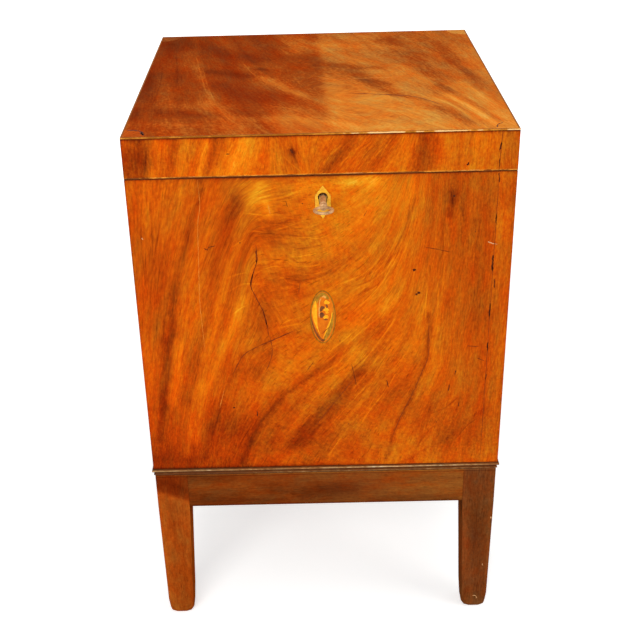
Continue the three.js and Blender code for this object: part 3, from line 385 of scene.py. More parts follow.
class Flow:
    """Two coordinates over a panel, across and along the grain that the strokes show."""

    STEP = 6.0      # the grid's spacing
    SAMPLE = 12     # spacing of the places where a stroke steers
    NEAR = 60.0     # keeps a stroke's pull finite, in square millimetres
    HOLD = 12.0     # how much more a sheet is held level than made to rise
    TWIST = 0.02    # holds down the pattern that the slopes don't see
    LEAST = -35     # directions are taken from this angle on, in degrees
    ROUNDS, DONE = 1200, 1e-9

    def __init__(self, strokes, low, high):
        self.low = np.array(low, float)
        self.count = np.ceil((np.array(high) - self.low) / self.STEP).astype(int) + 1
        middles = [self.low[k] + self.STEP * (np.arange(self.count[k] - 1) + 0.5) for k in (0, 1)]
        grid = np.stack(np.meshgrid(*middles, indexing="ij"), -1).reshape(-1, 2)
        places, turns = [], []
        for points, _, _ in strokes:
            points = np.array(points, float)
            for p, q in zip(points[:-1], points[1:]):
                pieces = max(1, int(np.linalg.norm(q - p) / self.SAMPLE))
                for k in range(pieces):
                    places.append(p + (q - p) * (k + 0.5) / pieces)
                    turns.append(math.atan2(q[1] - p[1], q[0] - p[0]))
        turns = np.array(turns)
        apart = ((grid[:, None, :] - np.array(places)[None, :, :]) ** 2).sum(-1)
        weight = 1.0 / (apart + self.NEAR) ** 2
        turn = 0.5 * np.arctan2((weight * np.sin(2 * turns)).sum(1), (weight * np.cos(2 * turns)).sum(1))
        turn = np.where(turn < radians(self.LEAST), turn + pi, turn).reshape(self.count - 1)
        along = np.stack([np.cos(turn), np.sin(turn)], -1)
        across = np.stack([np.sin(turn), -np.cos(turn)], -1)
        self.fields = [self.solve(across, along), self.solve(along, across)]

    def slopes(self, h):
        half = 0.5 / self.STEP
        return ((h[1:, :-1] + h[1:, 1:] - h[:-1, :-1] - h[:-1, 1:]) * half,
                (h[:-1, 1:] + h[1:, 1:] - h[:-1, :-1] - h[1:, :-1]) * half)

    def gather(self, gx, gy, twist=0):
        """What each grid point has to do with the slopes of the cells around it."""
        half = 0.5 / self.STEP
        out = np.zeros(self.count)
        out[1:, 1:] += (gx + gy) * half + twist
        out[:-1, :-1] -= (gx + gy) * half - twist
        out[1:, :-1] += (gx - gy) * half - twist
        out[:-1, 1:] -= (gx - gy) * half + twist
        return out

    def solve(self, rise, level):
        """The sheet that rises one way and stays level the other, by conjugate gradients."""
        def pull(h):
            gx, gy = self.slopes(h)
            a = gx * rise[..., 0] + gy * rise[..., 1]
            b = (gx * level[..., 0] + gy * level[..., 1]) * self.HOLD
            twist = (h[1:, 1:] - h[:-1, 1:] - h[1:, :-1] + h[:-1, :-1]) * self.TWIST
            return self.gather(*(a * rise[..., k] + b * level[..., k] for k in (0, 1)), twist)

        height = np.zeros(self.count)
        rest = self.gather(rise[..., 0], rise[..., 1])
        way = rest.copy()
        size = first = (rest * rest).sum()
        for _ in range(self.ROUNDS):
            moved = pull(way)
            pace = size / max((way * moved).sum(), 1e-20)
            height += pace * way
            rest -= pace * moved
            new = (rest * rest).sum()
            if new < self.DONE * first:
                break
            way = rest + way * (new / size)
            size = new
        return height

    def at(self, points):
        spot = (points - self.low) / self.STEP
        cell = np.clip(np.floor(spot).astype(int), 0, self.count - 2)
        f = np.clip(spot - cell, 0, 1)
        i, j = cell[:, 0], cell[:, 1]
        out = []
        for field in self.fields:
            low = field[i, j] * (1 - f[:, 0]) + field[i + 1, j] * f[:, 0]
            high = field[i, j + 1] * (1 - f[:, 0]) + field[i + 1, j + 1] * f[:, 0]
            out.append(low * (1 - f[:, 1]) + high * f[:, 1])
        return out


def stroke_tone(strokes, points):
    """How much each point is lightened or darkened by the strokes, with slightly uneven edges."""
    wobble = np.stack([np.sin(points[:, 1] * 0.11 + 1.3) + 0.6 * np.sin(points[:, 1] * 0.31),
                       np.sin(points[:, 0] * 0.13 + 0.4) + 0.6 * np.sin(points[:, 0] * 0.29)], -1)
    points = points + wobble * 0.9
    tone = np.zeros(len(points))
    for line, width, strength in strokes:
        if not strength:
            continue
        line = np.array(line, float)
        best = np.full(len(points), 1e9)
        for p, q in zip(line[:-1], line[1:]):
            way = q - p
            share = np.clip(((points - p) @ way) / (way @ way), 0, 1)
            best = np.minimum(best, ((points - p - share[:, None] * way) ** 2).sum(1))
        tone += strength * np.exp(-best / (width * width))
    return tone


# Strokes: half width, how much lighter or darker, and points. Lines follow the grain and steer it, also
# where they have no strength. Spots only colour it. A point is a place across and a height, above the foot of
# the case on the front and the rails and above the rim on the lid. On the top both are from the middle.
FRONT_LINES = rows("""
6 0: -216,384 -215,245 -218,45
6 0: -205,3 -196,93 -188,193
6 0: -175,3 -168,63
5 -0.16: -134,393 -142,364 -154,321 -172,263 -189,153 -208,45
9 -0.12: -96,369 -115,307 -133,256 -139,223 -152,172 -169,104
6 0.1: -66,387 -87,351 -104,301 -119,242 -144,161 -161,89 -174,21
6 0: -81,369 -21,381 27,393
6 0: -76,332 -14,340 33,360 72,392
4 0.04: -70,291 -26,288 15,298 55,326 83,365 94,391
3 0.06: -62,254 -24,258 9,268 50,293 81,328 98,370 102,391
3 -0.1: 105,364 98,331 85,297 62,255 38,236 6,211
5 0: -60,210 -31,219
4 -0.1: -36,198 -57,188 -77,179 -97,166 -111,140 -122,114 -142,58 -153,13
4 -0.2: 26,177 6,152 -48,109 -80,70 -96,34 -105,7
2.5 -0.04: 124,388 126,301 125,236
2.2 -0.2: 126,216 127,161 118,132 108,103 97,78 85,42 78,5
4 -0.1: 73,176 40,134
12 -0.17: 40,134 11,93 -12,61 -32,33
6 0: 167,393 169,235 162,95 146,1
6 0: 206,386 205,207 202,11
6 0: 188,203 186,103 178,53
7 0.12: 85,237 58,197 26,149 -5,111 -34,71 -64,18
7 0.16: -92,242 -109,202 -135,146 -154,96 -163,44
3 0.12: 60,183 36,147 0,103 -30,63
4 0.08: 92,183 60,123 28,63 6,13
4 -0.04: 148,233 146,143 128,73 112,13
""")
FRONT_SPOTS = rows("""
12 -0.1: -95,381 -96,351
16 -0.05: -100,353 -122,283
8 -0.16: 66,210 50,184
2.5 -0.08: 199,81 155,40 121,17 95,0
13 0.14: -80,379 -67,365
5 0.2: -62,363 -60,348
34 0.16: 33,348 72,365
10 0.12: -20,385 60,389
7 -0.14: -190,190 -204,91
6 0.12: -173,182 -185,104
12 -0.16: -67,170 -84,142
14 -0.1: -72,234 -72,203
20 -0.04: -75,203 -30,233
4 -0.1: 153,397 150,369
6 -0.16: 150,372 149,364
3 -0.16: 148,363 146,343
18 -0.08: -8,88 -57,32
26 -0.1: -100,63 -60,93
16 -0.12: -211,11 -109,5
42 -0.07: -205,33 -60,25
24 -0.12: -215,20 -185,20
26 -0.08: -150,90 -120,60
24 -0.06: -150,150 -95,140
44 -0.09: -190,73 -120,53
22 -0.08: -190,290 -185,200
34 -0.12: 95,100 150,40
26 0.03: -150,283 -160,203
26 0.06: -60,373 -20,363
34 0.06: 60,323 70,233
26 -0.06: -40,25 90,25
44 -0.1: 150,363 190,243
32 -0.08: 195,203 190,53
12 -0.12: 211,383 212,361
20 -0.06: -200,323 -205,203
7 -0.1: -59,329 -54,315
7 0.12: 27,388 61,392
7 -0.08: -30,268 -30,251
40 0.06: 0,323 30,263
10 0.14: -46,11 -30,25
14 0.06: 108,25 128,53
""")
LID_LINES = rows("""
9 -0.2: -201,44 -203,2
5 -0.08: -196,44 -197,4
5 -0.12: -214,35 -215,5
6 0.1: -176,43 -183,1
2.5 -0.12: -163,43 -170,1
8 0.12: -145,44 -155,0
2 -0.14: -141,43 -148,21
4 -0.18: -116,44 -126,7
5 -0.12: -105,44 -113,15
4 0.16: -125,42 -135,2
12 0.14: -81,43 -99,1
9 -0.1: -38,44 -33,19
4 -0.1: -30,24 -24,4
7 -0.16: 33,40 8,6
6 0.08: 49,40 27,3
5 -0.08: 82,41 57,9
8 -0.18: 115,42 113,5
10 0.04: 143,40 142,5
4 -0.12: 127,38 124,8
6 -0.08: 211,40 213,5
9 0.06: 170,37 168,6
8 0.08: 97,39 86,6
""")
LID_SPOTS = rows("""
3.5 -0.3: -33,30 -30,27
24 0.08: -60,21 -90,16
14 -0.1: -215,21 -190,21
""")
TOP_LINES = rows("""
14 -0.1: -212,174 -209,85 -214,-152
8 0.12: -173,133 -158,66 -146,-5 -124,-106 -99,-160 -80,-215
7 0.08: -130,200 -100,90 -65,-3 -21,-79 15,-150 50,-220
8 0: 16,152 60,90 110,37 138,-38
18 -0.16: 100,172 139,63 155,-73
8 -0.1: 47,24 66,-40 96,-100
6 -0.1: 152,-52 179,-115 202,-190
7 0.16: 158,-93 199,-207
5 0.1: 192,-96 209,-184
3 -0.12: 31,-141 92,-175 116,-208
3 0.12: 61,-155 85,-181
6 0.04: 9,-52 98,-100 144,-135
14 -0.08: 174,137 183,50
6 -0.12: 191,11 198,-68
""")
TOP_SPOTS = rows("""
20 -0.12: -204,201 -81,83
10 -0.12: -197,173 -193,145
22 -0.18: -176,20 -150,-48 -154,-80
13 -0.2: -138,31 -88,8
40 -0.08: -110,120 -60,90
7 -0.2: -76,39 -69,34
10 -0.12: -215,24 -218,-75
15 -0.16: -182,-132 -131,-151
7 -0.14: -214,-122 -214,-152
18 -0.14: -124,-29 -94,-73 -67,-95
12 -0.14: -94,-139 -65,-156
9 -0.06: -68,-63 -41,-81
8 0.12: -65,-3 -21,-79
14 0.16: -73,-162 5,-179
40 0.08: -60,60 -10,150
8 0.06: -192,-175 -89,-196
14 0.1: 16,152 118,126
12 0.12: 110,37 138,-38
10 -0.14: 19,50 83,30
9 -0.16: 62,-23 88,-42
5 -0.14: 36,-46 39,-55
2.2 -0.16: 42,-76 111,-93 142,-127
12 0.08: 27,-95 144,-112
12 0.1: 6,-190 110,-211
7 -0.08: 18,-169 51,-193
12 -0.18: 141,-142 158,-169 168,-195
10 -0.1: 158,5 173,-32
26 0.2: -30,200 -25,130
22 0.07: -28,110 -20,0
30 0.16: -30,-150 -20,-210
20 0.1: 60,200 95,130
26 -0.1: -95,90 -70,20
26 -0.1: -160,-150 -120,-200
26 -0.06: 195,200 195,130
""")
RAIL_SPOTS = rows("""
12 -0.2: -25,-46 36,-40
7 -0.12: -8,-36 20,-34
5 -0.1: -160,-52 -50,-55
9 0.12: -168,-34 -90,-36
6 -0.12: -172,-16 -120,-17
5 -0.14: 60,-56 170,-57
12 0.05: 80,-34 170,-30
3 -0.12: -90,-28 -60,-30
3 -0.12: -70,-40 -40,-42
""")

# The fields reach a little past each panel.
front_flow = Flow(FRONT_LINES, (-222, -5), (222, 403))
lid_flow = Flow(LID_LINES, (-222, -6), (222, 56))
top_flow = Flow(TOP_LINES, (-222, -222), (222, 222))


# Paint: functions from a piece's points to its grain, tone and hue.

def hump(value, middle, half):
    return np.exp(-((value - middle) / half) ** 2)


def dying(value, width):
    """1 at zero and below, dying away above."""
    return np.exp(-np.maximum(value, 0) / width)


def below(value, width):
    """1 below zero and 0 above, with a soft step."""
    return 1 / (1 + np.exp(np.clip(value / width, -60, 60)))


def through(value, text):
    """Straight lines through pairs of a place and an amount."""
    return np.interp(value, *zip(*pairs(text)))


def centred(points, way):
    """Places along one axis from the case's middle."""
    return points[:, way] - (SHIFT if way == Y else 0)


def plain_grain(points, way, seed):
    """Straight grain along one axis: depth and width are the other two."""
    order = {X: (Y, Z, X), Y: (X, Z, Y), Z: (X, Y, Z)}[way]
    return points[:, order] * MM + np.array([seed * 0.37, seed * 0.61, seed * 0.23])


def front_paint(points):
    """Dark at the sides, painted shade and grime along the foot, and painted shade under the lid. Redder at
    the lower left, yellower at the top.
    """
    flat = points[:, [X, Z]] - (0, CASE_FOOT)
    x, up = flat.T
    down = np.maximum(CASE_RIM - CASE_FOOT - up, 0)
    tone = stroke_tone(FRONT_LINES + FRONT_SPOTS, flat) - 0.12 * dying(HALF - np.abs(x), 1.2)
    # Painted shade and grime along the foot, above the moulding.
    tone -= through(x, "-220,0.34 20,0.3 100,0.06") * dying(up, 2)
    # Painted shade under the lid: a sharp dark line at the gap, then a broader shade below it.
    tone -= through(x, "-110,0.4 -60,0.8 40,0.8 90,0.4") * dying(down, 0.5)
    tone -= through(x, "-220,0.12 -150,0.16 -110,0.3 40,0.26 110,0.14 220,0.08") * dying(down, 2.6)
    hue = through(x, "-220,-0.05 -100,0 0,0.03 220,0") + 0.05 * hump(down, 0, 70) * (x > -110)
    hue -= 0.14 * hump(up, 0, 110) * below(x - 10, 30)
    return np.stack([points[:, Y], *front_flow.at(flat)], -1) * MM, tone, hue


def lid_front_paint(points):
    """Dark along the top and the sides, with a light lower edge."""
    flat = points[:, [X, Z]] - (0, LID_RIM)
    x, up = flat.T
    tone = stroke_tone(LID_LINES + LID_SPOTS, flat) - 0.12 * dying(HALF - np.abs(x), 1.2)
    tone -= 0.66 * dying(LID_HEIGHT - EDGE_STRING - up, 1.1)
    tone += through(x, "-120,0 -80,0.24 100,0.24 150,0.1") * dying(up - RIM_STRING, 0.6)
    hue = -0.02 + 0.1 * hump(x, 210, 60) + 0.04 * hump(x, 0, 60)
    return np.stack([points[:, Y], *lid_flow.at(flat)], -1) * MM, tone, hue


def top_paint(points):
    """The left half is darker than the right, with a clear line between them: the lighter, yellower right
    half is a painted reflection.
    """
    flat = np.stack([points[:, X], centred(points, Y)], -1)
    # left is 1 on the left half, outside the painted reflection that lightens and yellows the right half.
    left = below(flat[:, 0] - 8 + flat[:, 1] * 0.018, 3)
    tone = 0.8 * stroke_tone(TOP_LINES + TOP_SPOTS, flat) + 0.13 - 0.2 * left - flat[:, 1] * 0.0004
    return np.stack([points[:, Z], *top_flow.at(flat)], -1) * MM, tone, 0.035 - 0.085 * left


def painted_bead(down):
    """The moulding's lowest bead, painted on what carries it: its painted highlight, and the painted shadow
    under it.
    """
    return hump(down, 12, 0.9), hump(down, 13.8, 0.8)


def leg_paint(left, front):
    """Painted shade at the top of the inner faces, and yellower at the foot. The front legs have marks of
    their own, with painted highlights along the right one's edges, and the left one is dark above a slanting
    line."""
    def paint(points):
        x, z = points[:, X], points[:, Z]
        out = (-x if left else x) - LEG_FACE
        depth = np.abs(centred(points, Y)) - LEG_FACE
        # inner: painted shade on the inner faces, under the case.
        inner = below(out + INNER_SIDE + (TAPER_TOP - z) * SLANT, 0.5)
        # The painted bead: a painted highlight, also yellower, and the painted shadow under it.
        lit, line = painted_bead(CASE_FOOT - z)
        tone = -0.3 * inner * np.clip(-depth / 3, 0, 1) + 0.12 * lit - 0.22 * line
        hue = 0.12 * np.exp(-z / 20) - 0.14 * (left and front) + 0.2 * lit
        if left and front:
            edge = z - 211 + (x + LEG_FACE) * 0.42
            tone -= 0.36 * below(-edge, 1.6)
            tone += 0.1 * hump(edge, -4, 4) + 0.07 * hump(out, -27, 7) * (z < 170) - 0.05 * hump(z, 40, 40)
            tone -= 0.16 * hump(edge, 16, 4) + 0.12 * hump(z, 152, 6) * hump(out, -18, 5)
        elif front:
            # Painted highlights in stripes along the right front leg's outer and inner edges.
            tone += 0.16 * hump(out, -3, 5) * hump(z, 90, 60)
            tone += 0.16 * hump(out, -36 + (TAPER_TOP - z) * 0.03, 5) * hump(z, 100, 60)
            tone += 0.22 * np.exp(-z / 12) + 0.1 * hump(z, 62, 9) * hump(out, -20, 9)
            tone -= 0.14 * hump(out, -21, 8) * hump(z, 135, 50)
        return plain_grain(points, Z, 1.0 + left), tone, hue
    return paint


def moulding_paint(way):
    """Painted shade and grime under the case, painted highlights with some wear along the crowns of the two
    beads, and painted shade in the quirk between them.
    """
    def paint(points):
        z, run = points[:, Z] - CASE_FOOT, centred(points, way)
        # Painted highlights on the two bead crowns, uneven along the run as with wear.
        wear = np.sin(run * 0.31 + 1) * np.sin(run * 0.113 + 2) + 0.5 * np.sin(run * 0.83)
        crown_highlight = through(run, "-220,0.54 -150,0.46 -30,0.4 90,0.62 150,0.56 220,0.4")
        lower = hump(z, -9.2, 1.4) * np.clip((run + 150) / 120, 0, 1)
        tone = -0.2 + hump(z, -2.3, 1.1) * (crown_highlight + 0.1 * wear) + lower * (0.3 + 0.1 * wear)
        # Painted shade and grime right under the case, and painted shade in the quirk.
        tone -= 0.14 * hump(z, 0, 0.5) + 0.06 * hump(z, -5, 0.9)
        return plain_grain(points, way, 3.0 + way), tone
    return paint


def rail_paint(way):
    """A little darker towards the left end, and darker along the lower edge."""
    def paint(points):
        run = centred(points, way)
        z = points[:, Z] - CASE_FOOT
        share = np.clip(run / 160, -1, 1)
        lit, line = painted_bead(-z)
        tone = share * 0.1 - 0.02 - 0.25 * np.exp(-(z + RAIL) / 1.5)
        tone += stroke_tone(RAIL_SPOTS, np.stack([run, z], -1))
        # The painted bead: a painted highlight, also yellower, and the painted shadow under it.
        tone += 0.14 * lit - 0.22 * line
        hue = 0.05 + share * 0.06 + 0.06 * hump(run, 5, 50) + 0.2 * lit
        return plain_grain(points, way, 2.0 + way), tone, hue
    return paint


# How clean and worn the line along the front of the top edge is, from 0 to 1, at places along it.
WEAR = """
-220,0.62 -200,0.5 -192,0.3 -30,0.3 -20,0.5 6,0.6 15,0.62 18,0.2 22,0.3 24,0.75 28,0.7 31,0.35 35,0.7 50,0.75
55,1 92,1 96,0.4 103,0.4 106,1 114,1 117,0.5 124,0.5 128,0.9 150,0.8 165,0.85 169,0.4 174,0.85 182,0.8
185,0.35 190,0.75 198,0.8 202,0.4 206,0.9 214,0.8 220,1
"""


def edge_paint(points):
    """Worn on its face in front, darker on top, and dirty along both edges."""
    face = below(points[:, Y] - FRONT - 0.45, 0.1)
    down = LID_TOP - points[:, Z]
    low = np.clip((down - 1.2) / 0.6, 0, 1)
    high = face * np.clip((0.55 - down) / 0.3, 0, 1)
    wear = through(points[:, X], WEAR) - 0.5
    tone = face * (wear * 0.5 + 0.02) - (1 - face) * 0.2 - low * 0.14 - high * 0.16
    return points * MM, np.where(points[:, Y] < FRONT + 3, tone, -0.24)


def rim_paint(points):
    """Painted shade along the lower edge, at the gap under the lid, most of all in the middle of the front.
    """
    # low: the painted shade of the gap between lid and case.
    low = np.clip((LID_RIM + 0.9 - points[:, Z]) / 0.4, 0, 1)
    low = low * through(points[:, X], "-200,0.2 -150,0.5 -110,1 60,1 120,0.4")
    tone = through(points[:, X], "-220,-0.1 -170,0.03 220,0.05") - 0.34 * low
    return points * MM, np.where(points[:, Y] < FRONT + 1, tone, -0.12)


def fan_paint(x, y):
    """Five shaded petals that open from the corner."""
    def paint(points):
        dx, dy = np.abs(points[:, X] - x), np.abs(points[:, Y] - y)
        turn = np.arctan2(dy, dx) / (pi / 2)
        petal = (turn * 5) % 1
        tone = 0.2 * petal - 0.08 - 0.2 * np.exp(-np.minimum(petal, 1 - petal) / 0.06)
        reach = np.hypot(dx, dy)
        return np.stack([points[:, Z], turn * 20, reach], -1) * MM + seed_of("fan") * 0.1, tone * (reach > 3)
    return paint


# Dressing: a softened copy of a CAD node, with the attributes that its material reads.

def seed_of(name):
    return sum((i + 3) * ord(c) for i, c in enumerate(name)) % 97 / 9.7


def coordinates(mesh):
    out = np.empty(len(mesh.vertices) * 3, np.float32)
    mesh.vertices.foreach_get("co", out)
    return out.reshape(-1, 3).astype(float) / MM


def set_attributes(mesh, *values):
    """The grain, and the tone and hue where they are given."""
    for name, each in zip(("grain", "tone", "hue"), values):
        kind, key = ("FLOAT_VECTOR", "vector") if name == "grain" else ("FLOAT", "value")
        made = mesh.attributes.get(name) or mesh.attributes.new(name, kind, "POINT")
        made.data.foreach_set(key, np.ascontiguousarray(each, np.float32).ravel())


def bevel_edges(bm, offset, segments, limit):
    edges = [e for e in bm.edges if len(e.link_faces) == 2 and e.calc_face_angle(0) > radians(limit)]
    bmesh.ops.bevel(bm, geom=edges, offset=offset * MM, segments=segments, profile=0.5, affect="EDGES",
                    clamp_overlap=True)


def add_object(name, bm, node, look, replaced, attributes, sharp=None, sink=0.0):
    """Makes a piece that rides with the node and has its slot. attributes gives them from the points."""
    mesh = bpy.data.meshes.new(name)
    bm.to_mesh(mesh)
    bm.free()
    points = coordinates(mesh)
    if sink:
        for vertex in mesh.vertices:
            vertex.co.z = min(vertex.co.z, (LID_TOP - sink) * MM)
    set_attributes(mesh, *attributes(points))
    obj = link(bpy.data.objects.new(name, mesh))
    body, slot = body_of[node], slot_of[node]
    mesh.materials.append(look or looks[slot])
    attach(obj, body)
    if replaced:
        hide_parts(node)
    mesh.polygons.foreach_set("use_smooth", [True] * len(mesh.polygons))
    if sharp is not None:
        mesh.set_sharp_from_angle(angle=radians(sharp))
    obj.modifiers.new("normals", "WEIGHTED_NORMAL").keep_sharp = True
    return obj


def dress(node, look=None, bevel=0.3, segments=2, limit=35, way=None, paint=None, slices=(), sink=0.0):
    """slices hold an axis, two ends and a step: cuts that give the paint points to colour."""
    bm = bmesh.new()
    bm.from_mesh(nodes[node].data)
    bmesh.ops.remove_doubles(bm, verts=bm.verts, dist=1e-6)
    bmesh.ops.dissolve_limit(bm, angle_limit=radians(0.6), verts=bm.verts, edges=bm.edges)
    if bevel:
        bevel_edges(bm, bevel, segments, limit)
    for axis, start, stop, step in slices:
        normal = Vector((0, 0, 0))
        normal[axis] = 1
        for k in range(1, int((stop - start) / step)):
            bmesh.ops.bisect_plane(bm, geom=bm.verts[:] + bm.edges[:] + bm.faces[:],
                                   plane_co=normal * ((start + k * step) * MM), plane_no=normal, dist=1e-7)

    def straight(points):
        """Straight grain, the long way of the piece unless the way is given."""
        longest = int(np.argmax(points.max(0) - points.min(0))) if way is None else way
        return (plain_grain(points, longest, seed_of(node)),)

    return add_object(node + "_look", bm, node, look, True, paint or straight, sink=sink)


ENDS = ("front", "back", "left", "right")
BEAD = (Z, CASE_FOOT - 16, CASE_FOOT, 0.6)      # slices for the painted bead
# Slices that reach both ends, across and from front to back.
RAIL_RUN, MOULDING_RUN = (-HALF, 240), (-225, 245)
for place in ("front_left", "front_right", "back_left", "back_right"):
    dress("leg_" + place, ORANGE_LEG if place == "front_left" else None, bevel=0.9, limit=60,
          paint=leg_paint("left" in place, "front" in place),
          slices=((Z, 0, CASE_FOOT, 6), BEAD, (X, -HALF, HALF, 5), (Y, FRONT, BACK, 5)))
for end in ENDS:
    way = X if end in ("front", "back") else Y
    dress("rail_" + end, bevel=0.6, paint=rail_paint(way),
          slices=((way, *RAIL_RUN, 6), (Z, CASE_FOOT - RAIL - 1, CASE_FOOT, 4), BEAD))
    dress("moulding_" + end, bevel=0, paint=moulding_paint(way),
          slices=((way, *MOULDING_RUN, 4), (Z, CASE_FOOT - MOULDING, CASE_FOOT, FINE)))
for end in ENDS + ("bottom",):
    dress("case_%s_board" % end, BACK_BOARD if end == "back" else None, bevel=0.2, segments=1)
for end in ENDS:
    dress("lid_%s_rail" % end, BACK_BOARD if end == "back" else None, bevel=0.2, segments=1)
dress("lid_top_board", bevel=0.2, segments=1, way=X)
for name in ("long_divider_1", "long_divider_2", "cross_divider_1", "cross_divider_2"):
    dress("rack_" + name, bevel=0.6)
GRID, TOP_GRID = 3.2, 4.0
dress("case_front_veneer", bevel=0.5, paint=front_paint,
      slices=((X, -HALF, HALF, GRID), (Z, CASE_FOOT, CASE_RIM, GRID), (Z, CASE_RIM - 7, CASE_RIM, FINE)))
dress("lid_front_veneer", paint=lid_front_paint,
      slices=((X, -HALF, HALF, GRID), (Z, LID_RIM, LID_TOP, GRID), (Z, LID_TOP - 6, LID_TOP - 1, FINE),
              (Z, LID_RIM + 1, LID_RIM + 4, FINE)))
dress("lid_top_veneer", bevel=0.1, segments=1, paint=top_paint, sink=SUNK,
      slices=((X, -HALF, HALF, TOP_GRID), (Y, FRONT, BACK, TOP_GRID)))
for end in ("left", "right"):
    dress("case_%s_veneer" % end, way=Z)
    dress("lid_%s_veneer" % end, way=Z)
COARSE, FINEST = 11.0, 0.25
dress("lid_edge_stringing", bevel=0.5, segments=3, paint=edge_paint,
      slices=((X, -HALF, HALF, 2.5), (Y, FRONT, BACK, COARSE), (Y, FRONT, FRONT + 1.5, FINEST),
              (Z, LID_TOP - EDGE_STRING, LID_TOP, FINEST)))
dress("lid_rim_stringing", bevel=0.25, paint=rim_paint,
      slices=((X, -HALF, HALF, COARSE), (Y, FRONT, BACK, COARSE), (Z, LID_RIM, LID_RIM + RIM_STRING, FINEST)))
dress("escutcheon", bevel=0.2)

FAN, FAN_GRID = 26, 1.3
FAN_START = 0.88      # where the fans start across, as a share of the half width
FAN_STOPS = {"front_left": "0 7c2a0c 0.5 be5218 1 e27a30", "front_right": "0 b05416 0.5 e4842c 1 f6a854",
             "back_right": "0 a05a1a 0.5 d68e3e 1 f0b664", "back_left": "0 642c12 0.5 92461c 1 b8642c"}
for place, stops in FAN_STOPS.items():
    look = wood("fan_wood_" + place, ramp(stops), figure=0.4, streak=0.6, seed=seed_of(place), gloss=0.0,
                redden=0.05)
    x = -HALF if "left" in place else HALF
    y, inward = (FRONT, FAN) if "front" in place else (BACK, -FAN)
    dress("corner_fan_" + place, look, bevel=0.12, segments=1, paint=fan_paint(x, y), sink=0.05,
          slices=((X, *sorted((x, x * FAN_START)), FAN_GRID), (Y, *sorted((y, y + inward)), FAN_GRID)))

for node in ("lock_case", "lock_cap", "lock_bolt", "link_plate"):
    dress(node, bevel=0.15, limit=30)
for end in ("left", "right"):
    for part in ("case_leaf", "lid_leaf", "pin"):
        dress("hinge_%s_%s" % (end, part), bevel=0.15, limit=30)


# Shapes built here: lathes, sweeps, flat plates and thin strips. Heights are above the surface they lie on.
STRIP, HOLE = 0.09, 0.085       # tops of the marks and the worm holes
BURIED, INLAY_FOOT, RIBBON_FOOT = -0.3, -0.4, -0.1
LEAST_RADIUS = 0.02             # closes a lathe's end without a point


def circle(count):
    """Angles in equal steps round a circle."""
    return [2 * pi * k / count for k in range(count)]


def even_path(points, step):
    out = [tuple(points[0])]
    for p, q in zip(points[:-1], points[1:]):
        pieces = max(1, round(math.dist(p, q) / step))
        for k in range(1, pieces + 1):
            out.append(tuple(a + (b - a) * k / pieces for a, b in zip(p, q)))
    return out


def normal_at(path, k):
    """A unit vector across a flat path at one of its points."""
    way = np.array(path[min(k + 1, len(path) - 1)]) - np.array(path[max(k - 1, 0)])
    way = way / max(np.linalg.norm(way), 1e-9)
    return np.array((-way[1], way[0]))


def smooth(points, closed=False):
    """A Catmull-Rom curve through the points, with five pieces to a span."""
    p = [np.array(point, float) for point in points]
    p = [p[-1]] + p + p[:2] if closed else [2 * p[0] - p[1]] + p + [2 * p[-1] - p[-2]]
    out = []
    for p0, p1, p2, p3 in zip(p, p[1:], p[2:], p[3:]):
        for k in range(5):
            t = k / 5
            out.append(tuple(0.5 * (2 * p1 + (p2 - p0) * t + (2 * p0 - 5 * p1 + 4 * p2 - p3) * t * t
                                    + (3 * p1 - p0 - 3 * p2 + p3) * t ** 3)))
    return out if closed else out + [tuple(p[-2])]


